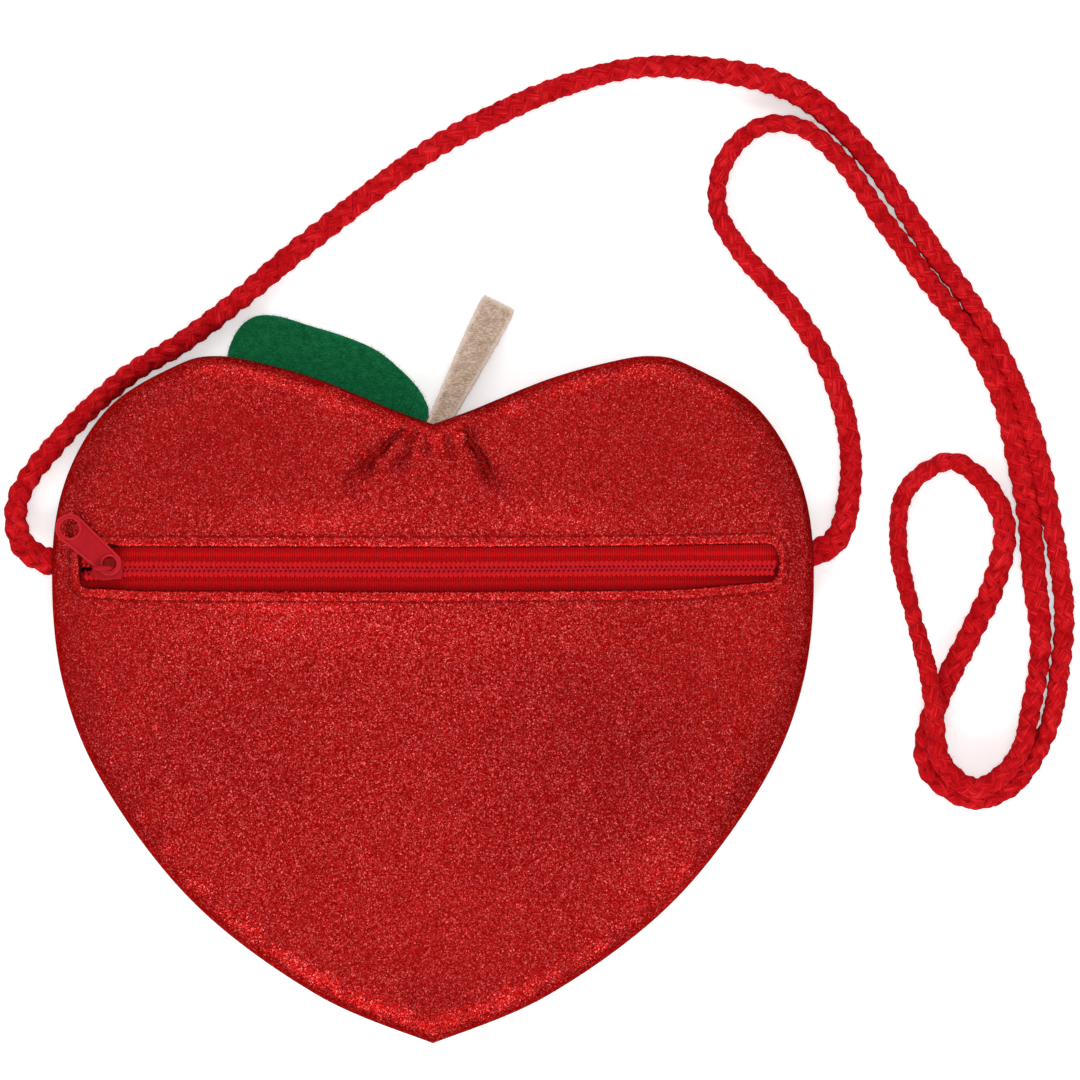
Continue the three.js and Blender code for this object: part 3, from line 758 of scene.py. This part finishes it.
def glitter_cloth():
    """Fine flakes, each with its own tilt and shade of red."""
    made, tree = new_material("glitter_cloth")
    flakes = add(tree, "TexVoronoi", None, {"Vector": where(tree), "Scale": FLAKE_SCALE}).outputs
    lean = vector_math(tree, "SUBTRACT", {0: flakes["Color"], 1: (0.5, 0.5, 0.5)})
    tilt = vector_math(tree, "SCALE", {0: lean, "Scale": FLAKE_TILT})
    leaning = vector_math(tree, "ADD", {0: add(tree, "NewGeometry").outputs["Normal"], 1: tilt})
    normal = vector_math(tree, "NORMALIZE", {0: leaning})
    chance = add(tree, "TexWhiteNoise", None, {"Vector": flakes["Position"]}).outputs["Value"]
    red = ramp(tree, chance, [
        (0.0, (0.15, 0.0008, 0.0008)), (0.35, (0.21, 0.002, 0.002)), (0.7, (0.28, 0.0085, 0.008)),
        (0.93, (0.41, 0.04, 0.038)), (1.0, (0.64, 0.105, 0.105)),
    ])
    red = mix(tree, number_of(tree, "calm"), red, (0.255, 0.005, 0.005))
    patches = ramp(tree, noise(tree, 70.0, 3.0), [(0.3, (0.95, 0.92, 0.92)), (0.7, (1.0, 1.0, 1.0))])
    red = mix(tree, 1.0, red, patches, "MULTIPLY")
    # lay scales the flakes' colour: painted sheen and shade, and painted highlights on the hem and the edge
    red = vector_math(tree, "SCALE", {0: red, "Scale": number_of(tree, "lay")})
    # painted shade along the seam: the heart's edge darkened and made less metallic where its side wall turns
    # into shadow
    rim = number_of(tree, "rim")
    red = mix(tree, rim, red, (0.05, 0.004, 0.007))
    # painted shade in the folds of the gathers and along the stitch line
    red = mix(tree, number_of(tree, "crease"), red, (0.1, 0.001, 0.001))
    metal = math_of(tree, "SUBTRACT", 0.85, math_of(tree, "MULTIPLY", rim, 0.6))
    return set_shader(
        made, base_color=red, metallic=metal, roughness=0.33, specular_ior_level=0.0,
        specular_tint=(0.5, 0.03, 0.03), normal=normal,
    )


def lining_satin():
    made, tree = new_material("lining_satin")
    red = ramp(tree, noise(tree, 45.0, 3.0), [(0.3, (0.2, 0.012, 0.014)), (0.7, (0.3, 0.02, 0.022))])
    normal = bump(tree, wave(tree, 900.0, distortion=1.5), 0.00005, 0.5)
    return set_shader(made, base_color=red, roughness=0.55, specular_ior_level=0.15, normal=normal)


def fleece():
    stops = [(0.3, (0.62, 0.6, 0.56)), (0.7, (0.86, 0.84, 0.8))]
    return patterned("fleece", lambda tree: noise(tree, 900.0, 4.0), stops, 0.95, 0.5, 0.0006)


def sewing_thread():
    """Twisted thread, dark with painted shade where it sinks into the cloth round the window, and bright in
    the fan.
    """
    def twist(tree):
        return wave(tree, 1400.0, "DIAGONAL")

    stops = [(0.2, (0.17, 0.002, 0.003)), (0.8, (0.3, 0.005, 0.006))]
    return patterned("sewing_thread", twist, stops, 0.6, 0.05, 0.00004, ("clean", (0.54, 0.007, 0.01)))


def zip_cloth():
    """Plain ribbed weave, whose ribs are in the mesh too, with painted shade near the hem's edge and over all
    of the lower tape.
    """
    def weave(tree):
        return math_of(tree, "MULTIPLY", wave(tree, 507.0), noise(tree, 1500.0, 3.0))

    stops = [(0.05, (0.46, 0.002, 0.004)), (0.55, (0.82, 0.0095, 0.0125))]
    return patterned("zip_cloth", weave, stops, 0.7, 0.05, 0.00006, ("shade", (0.2, 0.0005, 0.002)))


def coil_nylon():
    stops = [(0.3, (0.36, 0.002, 0.008)), (0.7, (0.49, 0.004, 0.013))]
    return patterned("coil_nylon", lambda tree: noise(tree, 800.0), stops, 0.4, 0.12)


def coil_thread():
    stops = [(0.3, (0.46, 0.002, 0.004)), (0.7, (0.62, 0.006, 0.008))]
    return patterned("coil_thread", lambda tree: noise(tree, 2600.0), stops, 0.55, 0.1, 0.00005)


def slider_paint():
    """Gloss paint, with a painted highlight along its raised edges and painted shade in the groove beside
    them.
    """
    made, tree = new_material("slider_paint")
    specks = noise(tree, 1600.0, 3.0)
    red = ramp(tree, noise(tree, 260.0, 3.0), [(0.3, (0.37, 0.0035, 0.009)), (0.7, (0.43, 0.006, 0.012))])
    # painted highlight on the raised rim and painted shade in the groove inside it
    for number, over in (("worn", (0.72, 0.03, 0.045)), ("dull", (0.2, 0.002, 0.005))):
        red = mix(tree, math_of(tree, "MULTIPLY", number_of(tree, number), 0.35), red, over)
    gloss = ramp(tree, specks, [(0.3, (0.36, 0.36, 0.36)), (0.7, (0.5, 0.5, 0.5))])
    normal = bump(tree, specks, 0.00002, 0.6)
    return set_shader(made, base_color=red, roughness=gloss, specular_ior_level=0.08, normal=normal)


def felt(name, dark, plain, pale, cut):
    """Matted wool: fine fibres, paler and darker tufts, and the colour of its cut edge."""
    def tufts(tree):
        stretched = add(tree, "Mapping", None, {"Vector": where(tree), "Scale": (1.0, 2.4, 1.0)})
        fine = noise(tree, 1250.0, 3.0, stretched.outputs[0], 0.6)
        return weighed(tree, fine, noise(tree, 500.0, 3.0), 0.7)

    stops = [(0.36, dark), (0.5, plain), (0.64, pale)]
    return patterned(name, tufts, stops, 0.95, 0.05, 0.0004, ("cut", cut))


def cord_cotton():
    """Cotton yarn: fibres that run round and along each strand, with painted shade between the strands and on
    the core.
    """
    made, tree = new_material("cord_cotton")
    place = add(tree, "Attribute", {"attribute_name": "yarn"}).outputs["Vector"]
    fibre = noise(tree, 1.0, 4.0, place, 0.6)
    red = ramp(tree, weighed(tree, fibre, noise(tree, 160.0, 3.0), 0.75), [
        (0.33, (0.33, 0.001, 0.003)), (0.5, (0.55, 0.004, 0.008)), (0.67, (0.9, 0.026, 0.033)),
    ])
    # painted shade where strands turn inwards or run under others, and on the core
    red = mix(tree, number_of(tree, "hidden"), red, (0.24, 0.001, 0.003))
    normal = bump(tree, fibre, 0.0004)
    return set_shader(made, base_color=red, roughness=0.85, specular_ior_level=0.05, normal=normal)


# Cord

def cord_line():
    """Evenly spaced points along the route, each with its half width."""
    before, after = 2 * CORD_ROUTE[0] - CORD_ROUTE[1], 2 * CORD_ROUTE[-1] - CORD_ROUTE[-2]
    return evenly(smooth_line(CORD_ROUTE, before, after, 0.5, CORD_KNOT_STEPS), CORD_STEPS)


def make_cord():
    """Eight strands plaited over and under each other round a core, with loose fibres."""
    rng = np.random.default_rng(11)
    line = cord_line()
    centres, half_width = line[:, :3], line[:, 3]
    half_height = CORD_DIAMETER - half_width
    place = places(centres)
    along = unit(np.gradient(centres, axis=0))
    level = unit(np.cross(UP, along))
    upright = np.cross(along, level)
    centres = centres + UP * np.maximum(half_height - CORD_DIAMETER / 2, 0)[:, None]
    girth = np.sqrt(((half_width - 1.28) ** 2 + (half_height - 1.28) ** 2) / 2) / 1.62
    wander = 0.5 * np.sin(place / 37) + 0.35 * np.sin(place / 15.3 + 1)
    round_it = np.tile(np.arange(STRAND_SIDES) * tau / STRAND_SIDES, len(place))
    far = np.repeat(place, STRAND_SIDES)
    lay = round_it + far * 0.35
    parts, yarn, hidden, roots, ways = [], [], [], [], []
    for strand in range(CORD_STRANDS):
        hand = 1 if strand < CORD_STRANDS / 2 else -1
        angle = hand * tau * place / CORD_TURN + (strand % 4) * pi / 2 + wander
        lift = hand * CORD_WEAVE * np.cos(4 * tau * place / CORD_TURN + hand * 4 * wander)
        cosine, sine = np.cos(angle)[:, None], np.sin(angle)[:, None]
        out = level * cosine + upright * sine
        wide = (half_width - STRAND_INSET + lift)[:, None] * cosine
        high = (half_height - STRAND_INSET + lift)[:, None] * sine
        middle = centres + level * wide + upright * high
        swell = 1 + 0.07 * np.sin(place / 5.1 + strand * 1.7) + 0.05 * np.sin(place / 2.3 + strand)
        parts.append(sweep(middle, out, STRAND_THICK * swell, STRAND_WIDE * girth * swell, STRAND_SIDES))
        yarn.append(np.c_[np.cos(lay) * 3.6, np.sin(lay) * 3.6, far * 0.22 + strand * 40])
        # painted shade: more where a strand faces inwards or dips under another
        sunk = 0.5 - 0.5 * np.cos(round_it) + 0.25 * (1 - np.repeat(lift, STRAND_SIDES) / CORD_WEAVE)
        hidden.append(np.clip(sunk - 0.3, 0, 0.8))
        chosen = rng.integers(8, len(middle) - 8, STRAND_HAIRS)
        spin = unit(out[chosen] + 0.6 * rng.normal(size=(STRAND_HAIRS, 3)))
        roots.append(middle[chosen] + spin * 0.8)
        ways.append(unit(spin + 0.9 * rng.normal(size=(STRAND_HAIRS, 3))))
    roots, ways = np.concatenate(roots), np.concatenate(ways)
    hairs = fibres(roots, ways, rng.uniform(0.5, 1.6, len(roots)), 0.035, rng)
    core = sweep(centres, upright, half_height - 1.5, half_width - 1.5, 10)
    # no painted shade on the hairs, nearly full painted shade on the core
    for part, spot, sunk in ((hairs, (5.0, 5.0, 5.0), 0.0), (core, (9.0, 5.0, 5.0), 0.9)):
        parts.append(part)
        yarn.append(np.tile(spot, (len(part[0]), 1)))
        hidden.append(np.full(len(part[0]), sunk))
    points, faces = joined(parts)
    points[:, 2] = np.maximum(points[:, 2], 0.05)
    cord = make_piece(
        "braided_cord", points, faces, cord_cotton(), "bag", "cord_braid", "shoulder_cord",
        hidden=np.concatenate(hidden),
    )
    spots = cord.data.attributes.new("yarn", "FLOAT_VECTOR", "POINT")
    spots.data.foreach_set("vector", np.concatenate(yarn).astype(np.float32).ravel())


# Studio

def seen_rays(tree):
    """1 for the rays that show the background: the camera's own, and those off gloss or through glass."""
    path = add(tree, "LightPath").outputs
    seen = math_of(tree, "MAXIMUM", path["Is Camera Ray"], path["Is Glossy Ray"])
    return math_of(tree, "MAXIMUM", seen, path["Is Transmission Ray"])


def make_floor():
    made, tree = new_material("floor_paper")
    lift = math_of(tree, "MULTIPLY", add(tree, "LightPath").outputs["Is Camera Ray"], 0.1)
    shine = math_of(tree, "ADD", math_of(tree, "MULTIPLY", seen_rays(tree), 0.3), lift)
    set_shader(
        made, base_color=(0.9, 0.9, 0.9), roughness=0.9, specular_ior_level=0.1,
        emission_color=(1, 1, 1), emission_strength=shine,
    )
    half, z = 3000, -0.3
    corners = [(-half, -half, z), (half, -half, z), (half, half, z), (-half, half, z)]
    make_mesh("floor", corners, [(0, 1, 2, 3)], made)


def make_world():
    world = bpy.data.worlds.new("studio")
    world.use_nodes = True
    bpy.context.scene.world = world
    tree = world.node_tree
    ground = tree.nodes["Background"].inputs
    connect(tree, ground["Color"], (1, 1, 1))
    strength = math_of(tree, "ADD", math_of(tree, "MULTIPLY", seen_rays(tree), 0.72), 0.28)
    connect(tree, ground["Strength"], strength)


def make_light(name, place, aim, size, power):
    lamp = bpy.data.lights.new(name, "AREA")
    lamp.shape = "RECTANGLE"
    lamp.size, lamp.size_y = size
    lamp.energy = power
    light = new_object(name, lamp)
    light.location = place
    light.rotation_euler = (Vector(aim) - Vector(place)).to_track_quat("-Z", "Y").to_euler()


def make_studio():
    make_floor()
    make_world()
    make_light("key_top", (0.06, 1.05, 0.8), (0, 0.02, 0), (1.2, 0.4), 7.2)
    make_light("key_low", (-0.08, -1.0, 0.75), (0, 0, 0), (1.2, 0.4), 11.2)
    make_light("overhead", (0.03, 0.04, 1.6), (0.03, 0.04, 0), (0.6, 0.6), 4.5)
    make_light("fill_left", (-1.25, 0.05, 0.7), (0, 0.05, 0), (0.6, 1.0), 2.2)
    make_light("fill_right", (1.3, 0.05, 0.7), (0, 0.05, 0), (0.6, 1.0), 2.2)
    camera = bpy.data.cameras.new("camera")
    camera.lens = 150
    camera.sensor_width = 36
    camera.clip_end = 20
    eye = new_object("camera", camera)
    eye.location = (0.0285, 0.0424, 1.208)
    bpy.context.scene.camera = eye
    bpy.context.scene.view_settings.view_transform = "Standard"


# The bag

def make_panel(side, cloth, *shape):
    points, faces = heart_sheet(side, *shape)
    xy = points[:, :2]
    front = side == "front"
    panel = make_piece(
        "glitter_" + side, *shell(points, faces, PANEL_THICKNESS), cloth,
        "bag", "glitter_cloth", side + "_panel",
        # painted shade along the seam
        rim=0.65 * smoothstep(distance_to(outline, xy)[0], 0.6, 0.1),
        # painted sheen, shade and highlights on the front's flakes
        lay=flake_shine(xy) if front else 1,
        calm=0.05 + front * patches_at(xy, CALMS),
        # painted shade in the folds and the stitch line
        crease=creases(xy) if front else 0,
    )
    area_of(outline) * 1.08


def make_panels():
    cloth = glitter_cloth()
    hole = window_rings((0, 0.03, 0.1, 0.22, 0.4, 0.65, 1.0, 1.5, 2.0, 2.4, 2.65, 2.9, 3.15, 3.5), 1.2)
    gathers = hexagonal((-32, 47), (25, 76), 0.6)
    edge = [(0.6, SEAM_Z - 0.05), (0.22, SEAM_Z + 0.25), (0.0, SEAM_Z + 1.2)]
    insets = (0.1, 0.3, 0.65, 1.1, 1.7, 2.5)
    make_panel("front", cloth, edge, insets, hole, gathers, 1.7, front_height)
    edge = [(0.6, SEAM_Z + 0.05), (0.22, SEAM_Z - 0.25), (0.0, SEAM_Z - 1.1)]
    make_panel("back", cloth, edge, (0.5, 1.2, 2.2, 3.6), [], (), 2.6, back_height)


def make_layer(kind, slot, side, insets, hole, height, thickness, material):
    solid = shell(*heart_sheet(side, [], insets, hole, (), LAYER_SPACING, height), thickness)
    return make_piece(kind + "_" + side, *solid, material, "bag", slot, side + "_" + slot)


def make_layers():
    """The wadding and the lining inside, which show only through the open zip."""
    satin, white = lining_satin(), fleece()
    room = zip_ring(TAPE_LEFT - 0.3, TAPE_RIGHT + 0.7, TAPE_REACH + 6.8, WINDOW_CORNER, 2.5)
    pads = [
        ("front", (2.3, 2.9), [room], lambda xy: front_height(xy, WADDING_DEPTH)),
        ("back", (2.3, 2.9, 4), [], lambda xy: back_height(xy, WADDING_DEPTH)),
    ]
    for row in pads:
        pad = make_layer("fleece", "wadding", *row, WADDING_THICKNESS, white)
    linings = [
        ("front", (4.0, 4.5, 5.5), window_rings((0, 1.5), 1.5), front_lining_height),
        ("back", (4.0, 4.5, 5.5), [], lambda xy: back_height(xy, BACK_LINING_DEPTH)),
    ]
    for row in linings:
        lining = make_layer("lining", "lining", *row, LINING_THICKNESS, satin)
        area_of(outline)


def make_topstitch():
    """Stitches round the window, sunk into the cloth at their ends, and a fan of them at its corner."""
    parts = []
    steps = int(STITCH_PITCH / STITCH_STEP)
    count = len(stitch_line) // steps
    rng = np.random.default_rng(21)
    for number in range(count):
        start = int(number * len(stitch_line) / count)
        span = np.arange(start + 1, start + steps - 1)
        xy = stitch_line[span % len(stitch_line)] + rng.normal(0, 0.06, 2)
        t = np.linspace(0, 1, len(span))
        z = front_height(xy) + 0.16 * np.sin(pi * t) ** 0.6 - 0.12
        thick = 0.24 * (0.55 + 0.45 * np.sin(pi * np.clip(t, 0.04, 0.96)))
        parts.append(sweep(np.c_[xy, z], UP, thick, thick, THREAD_SIDES))
    # the window's stitches come first and keep the painted shade; the fan's threads after them are bright
    dusty = sum(len(points) for points, _ in parts)
    corner = np.array([WINDOW_RIGHT + 1.0, ZIP_Y - WINDOW_HALF + 1.6])
    t = np.linspace(0, 1, 9)
    for angle in np.radians(np.linspace(-140, -20, 7)):
        xy = corner + np.linspace(0.3, 3.5, len(t))[:, None] * (cos(angle), sin(angle))
        z = front_height(xy) + 0.28 * np.sin(pi * t) ** 0.6 - 0.1
        parts.append(sweep(np.c_[xy, z], UP, 0.2, 0.24 * (1 - 0.4 * t), THREAD_SIDES))
    points, faces = joined(parts)
    make_piece(
        "topstitches", points, faces, sewing_thread(), "bag", "thread", "window_topstitch",
        # painted shade on the window's stitches, none on the fan
        clean=np.arange(len(points)) >= dusty,
    )


# Zip

def spread_at(x):
    """How far each half of the zip stands off its line, left of the slider at rest."""
    return SPREAD * smoothstep(x, SLIDER_X + SPREAD_AFTER, SLIDER_X - SPREAD_BEFORE)


def by_zip(x, y, z, side):
    """Points y off the zip's line, to its upper or lower side."""
    return np.c_[x, ZIP_Y + zip_bow(x) + side * y, z]


def make_tape(half, side, material):
    """A ribbed woven tape that bulges a little between the coil and the hem."""
    x = np.linspace(TAPE_LEFT, TAPE_RIGHT, TAPE_STEPS)
    across = np.array([0, 0.02, 0.08, 0.16, 0.2, 0.24, 0.29, 0.34, 0.4, 0.46, 0.52, 0.6, 0.8, 1.0])
    columns = len(across)
    inner = 0.12 + spread_at(x)
    cut = np.minimum(TAPE_REACH, TAPE_REACH - 4 + (x - TAPE_LEFT))
    y = inner[:, None] + (cut - inner)[:, None] * across[None]
    ribs = RIB_HEIGHT * np.cos(tau * x / RIB_PITCH)[:, None] * np.cos(tau * y / 2.4 + 1)
    bulge = TAPE_BULGE * np.exp(-(((y - 4.1) / 1.1) ** 2))
    z = TAPE_TOP - RIB_HEIGHT + ribs + bulge
    grid = by_zip(np.repeat(x, columns), y.ravel(), z.ravel(), side)
    faces = []
    for i in range(len(x) - 1):
        for a in range(i * columns, i * columns + columns - 1):
            face = (a, a + columns, a + columns + 1, a + 1)
            faces.append(face if side > 0 else face[::-1])
    bottom = grid.copy()
    bottom[:, 2] = TAPE_BOTTOM
    xy = grid[:, :2]
    # painted shadow of the hem on the tape near the window's edge
    tucked = np.where(inside(window, xy), smoothstep(distance_to(window, xy)[0], 2.2, 0.1), 1)
    tape = make_piece(
        half + "_tape", *closed(grid, bottom, faces), material, half + "_lip", "zip_tape", half + "_zip_tape",
        # painted shade, heavier on the lower tape all over
        shade=0.2 * tucked if side > 0 else 0.1 + 0.45 * tucked,
    )


def make_coil(half, side, nylon, thread):
    """A flattened helix of filament, sewn to its tape by a stitch over each loop."""
    shift = 0 if side > 0 else TOOTH_PITCH / 2
    teeth = int((COIL_RIGHT - COIL_LEFT - shift) / TOOTH_PITCH)
    first = COIL_LEFT + shift + 0.25 * TOOTH_PITCH
    turn = np.linspace(0, teeth - 0.5, (teeth * 2 - 1) * 7 + 1)
    head, rising = np.cos(tau * turn), np.sin(tau * turn)
    x = first + TOOTH_PITCH * (turn + 0.16 * rising)
    y = COIL_MIDDLE - COIL_HALF * np.sign(head) * np.abs(head) ** 0.8 + spread_at(x)
    line = by_zip(x, y, COIL_BOTTOM + 2 * COIL_RISE + COIL_RISE * rising, side)
    out = np.c_[np.zeros_like(x), side * -head, rising]
    coil = sweep(line, out, 0.3, 0.42, 7)
    make_piece(half + "_coil", *coil, nylon, half + "_lip", "zip_coil", half + "_zip_coil")
    rng = np.random.default_rng(31 + side)
    t = np.linspace(-1, 1, 9)
    thick = np.sqrt(1 - (0.95 * t) ** 4)
    parts = []
    for tooth in range(teeth):
        x = first + TOOTH_PITCH * (tooth + 0.25) + 0.5 * t + rng.normal(0, 0.03)
        y = 1.36 + 0.66 * t + spread_at(x) + rng.normal(0, 0.04)
        line = by_zip(x, y, COIL_BOTTOM + 0.92 + 0.09 * (1 - t * t), side)
        parts.append(sweep(line, UP, 0.17 * thick, 0.62 * thick, 8))
    make_piece(half + "_coil_stitches", *joined(parts), thread, half + "_lip", "zip_coil")


def circle(x, y, radius, count):
    angle = np.arange(count) * tau / count
    return np.c_[x + radius * np.cos(angle), y + radius * np.sin(angle)]


def turned(points, angle, place):
    """Points turned about the upright axis and moved to a place."""
    c, s = cos(angle), sin(angle)
    flat = points[:, :2] @ np.array([[c, s], [-s, c]])
    return np.c_[flat, points[:, 2:]] + place


def make_pull(paint):
    """A flat tab between a ring on the bail and a grip with a hole."""
    touch = acos((PULL_RING - PULL_GRIP) / PULL_LENGTH)
    line = [(PULL_LENGTH + PULL_GRIP * cos(a), PULL_GRIP * sin(a)) for a in np.linspace(-touch, touch, 40)]
    line += [(PULL_RING * cos(a), PULL_RING * sin(a)) for a in np.linspace(touch, tau - touch, 40)]
    outer = evenly_round(line, 160)
    holes = [circle(0, 0, 1.85, 40), circle(PULL_LENGTH, 0, 2.5, 48)]

    def from_edge(xy):
        return np.min([distance_to(one, xy)[0] for one in (outer, *holes)], axis=0)

    def dent(xy):
        return 0.34 * smoothstep(from_edge(xy), 0.55, 0.75)

    points, faces = rounded_slab(outer, holes, 0.0, PULL_THICKNESS, 0.3, 0.25, dent)
    edge = from_edge(points[:, :2])
    place = (PIVOT_X - PULL_BEFORE, ZIP_Y + PULL_ABOVE, PIVOT_Z)
    make_piece(
        "tab", turned(points, PULL_YAW, place), faces, paint, "pull", "slider_paint", "pull_tab",
        # painted highlight on the tab's rim and painted shade in its groove
        worn=smoothstep(edge, 0.7, 0.45), dull=np.exp(-(((edge - 0.85) / 0.2) ** 2)),
    )


def slider_outline():
    """The slider's plan: wide where the halves come in, narrow where they leave closed."""
    front, rear, wide, narrow, corner = -4.0, 4.3, 3.15, 2.75, 0.6
    line = [(rear, corner - narrow), (rear, narrow - corner), (rear - corner, narrow)]
    a, b, c = np.array([(front + 3.4, wide), (front, wide - 0.2), (front, 0.5)])
    for t in np.linspace(0, 1, 14):
        line.append(tuple((1 - t) ** 2 * a + 2 * t * (1 - t) * b + t * t * c))
    line += [(x, -y) for x, y in line[:1:-1]]
    return evenly_round(line, 110) + (SLIDER_X, ZIP_Y)


def make_slider(paint):
    """Two plates with side flanges and a post between them, the upper grooved for the tab's ring."""
    def crown(xy):
        off = (xy - (SLIDER_X, ZIP_Y)) / (4.6, 3.2)
        return TOP_PLATE_Z + 0.06 * np.clip(1 - (off**2).sum(1), 0, 1)

    def groove(xy):
        off = (xy - (PIVOT_X, ZIP_Y + PULL_ABOVE)) / (0.8, 2.2)
        return 0.25 * np.exp(-((off**2).sum(1) ** 2))

    plan = slider_outline()
    parts = [
        rounded_slab(plan, [], crown, PLATE_THICKNESS, 0.42, 0.5, groove),
        rounded_slab(plan, [], BOTTOM_PLATE_Z, PLATE_THICKNESS, 0.35, 0.9),
    ]
    for side in (1, -1):
        corners = np.array([(-1.4, 2.6), (4.1, 2.2), (4.1, 2.7), (-1.4, 3.05)])
        ring = evenly_round((SLIDER_X, ZIP_Y) + corners[::side] * (1, side), 40)
        parts.append(rounded_slab(ring, [], FLANGE_Z, FLANGE_HEIGHT, 0.1, 0.5))
    post = circle(SLIDER_X - 3.3, ZIP_Y, 0.42, 20)
    parts.append(rounded_slab(post, [], POST_Z, POST_HEIGHT, 0.08, 0.3))
    make_piece("slider", *joined(parts), paint, "slider", "slider_paint", "slider_body")


def make_bail(paint):
    """A bent strap over the slider, that holds the tab's ring."""
    left, right, foot, arch, corner = -4.8, -0.1, BAIL_FOOT_Z - PIVOT_Z, 1.5, 0.8
    bend = np.linspace(0, pi / 2, 13)
    line = [(left, foot), (left, 0)]
    line += [(left + corner * (1 - cos(a)), arch - corner + corner * sin(a)) for a in bend]
    line += [(right - corner * (1 - sin(a)), arch - corner + corner * cos(a)) for a in bend]
    line += [(right, 0), (right, foot)]
    x, z = evenly(np.array(line), BAIL_STEPS).T
    centres = np.c_[PIVOT_X + x, ZIP_Y + np.linspace(0, 0.3, BAIL_STEPS), PIVOT_Z + z]
    width = np.linspace(0.95, 0.4, BAIL_STEPS)
    strap = sweep(centres, np.array([0.0, 1.0, 0.0]), width, 0.36, 10)
    make_piece("bail", *strap, paint, "slider", "slider_paint", "slider_bail")


def make_zip():
    cloth, nylon, thread, paint = zip_cloth(), coil_nylon(), coil_thread(), slider_paint()
    for half, side in (("upper", 1), ("lower", -1)):
        make_tape(half, side, cloth)
        make_coil(half, side, nylon, thread)
    make_slider(paint)
    make_bail(paint)
    make_pull(paint)
    for node in ("upper_top_stop", "lower_top_stop", "bottom_stop"):
        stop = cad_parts[node]
        stop.data.materials.clear()
        stop.data.materials.append(nylon)


# Felt

def felt_outline(along, first, second, steps, count, angle, root):
    """The outline between two edges beside a line that leaves the root at an angle."""
    there = spline_points(np.c_[along, first], steps)
    back = spline_points(np.c_[along, second][::-1], steps)
    return turned(evenly_round(np.concatenate([there, back]), count), angle, root)


def distance_along(xy, angle, root):
    return (xy - root) @ np.array([cos(angle), sin(angle)])


def felt_piece(name, node, slot, outer, middle, material, hairs, seed, cut_width):
    """A cut piece of felt with loose hairs, and the number that colours its cut edge."""
    points, faces = rounded_slab(outer, [], middle, FELT_THICKNESS, 0.45, 1.0)
    rng = np.random.default_rng(seed)
    chosen = rng.integers(0, len(points), hairs)
    out = normals_of(points, faces)[chosen]
    flat = np.abs(out[:, 2:]) > 0.9
    roots = points[chosen] + 0.5 * rng.normal(size=(hairs, 3)) * (1, 1, 0) * flat - 0.05 * out
    ways = unit(0.35 * out + rng.normal(size=(hairs, 3)) * (1, 1, 0.25))
    fuzz = fibres(roots, ways, rng.uniform(0.4, 1.1, hairs), 0.03, rng)
    cut = 0.8 * smoothstep(distance_to(outer, points[:, :2])[0], cut_width, 0.1)
    points, faces = joined([(points, faces), fuzz])
    points[:, 2] = np.maximum(points[:, 2], 0.03)
    cut = np.concatenate([cut, np.zeros(len(fuzz[0]))])
    return make_piece(name, points, faces, material, "bag", slot, node, cut=cut)


def make_leaf():
    def middle(xy):
        drop = smoothstep(distance_along(xy, LEAF_ANGLE, LEAF_ROOT), 1, 17)
        curl = 0.12 * drop * (ripples(xy, 12, 30, 12, 41) + 1)
        return LEAF_ROOT_Z + (FELT_LOW_Z - LEAF_ROOT_Z) * drop + curl

    along, low, high = LEAF_SECTIONS.T
    outer = felt_outline(along, -high, -low, 90, 180, LEAF_ANGLE, LEAF_ROOT)
    green = felt(
        "green_felt", (0.003, 0.085, 0.027), (0.006, 0.135, 0.045), (0.014, 0.19, 0.07), (0.01, 0.16, 0.06)
    )
    leaf = felt_piece("felt_leaf", "leaf", "green_felt", outer, middle, green, 2600, 43, 0.5)


def make_stem():
    def middle(xy):
        drop = np.clip(distance_along(xy, STEM_ANGLE, STEM_ROOT) / STEM_LENGTH, 0, 1)
        curl = 0.06 * drop * (ripples(xy, 8, 20, 12, 45) + 1)
        return STEM_ROOT_Z + (FELT_LOW_Z - STEM_ROOT_Z) * drop + curl

    along, half = STEM_SECTIONS.T
    outer = felt_outline(along, -half, half, 60, 130, STEM_ANGLE, STEM_ROOT)
    beige = felt(
        "beige_felt", (0.33, 0.23, 0.16), (0.5, 0.36, 0.27), (0.72, 0.56, 0.46), (0.86, 0.72, 0.62)
    )
    stem = felt_piece("felt_stem", "stem", "beige_felt", outer, middle, beige, 900, 47, 1.0)


make_studio()
make_cord()
make_panels()
make_layers()
make_topstitch()
make_zip()
make_leaf()
make_stem()
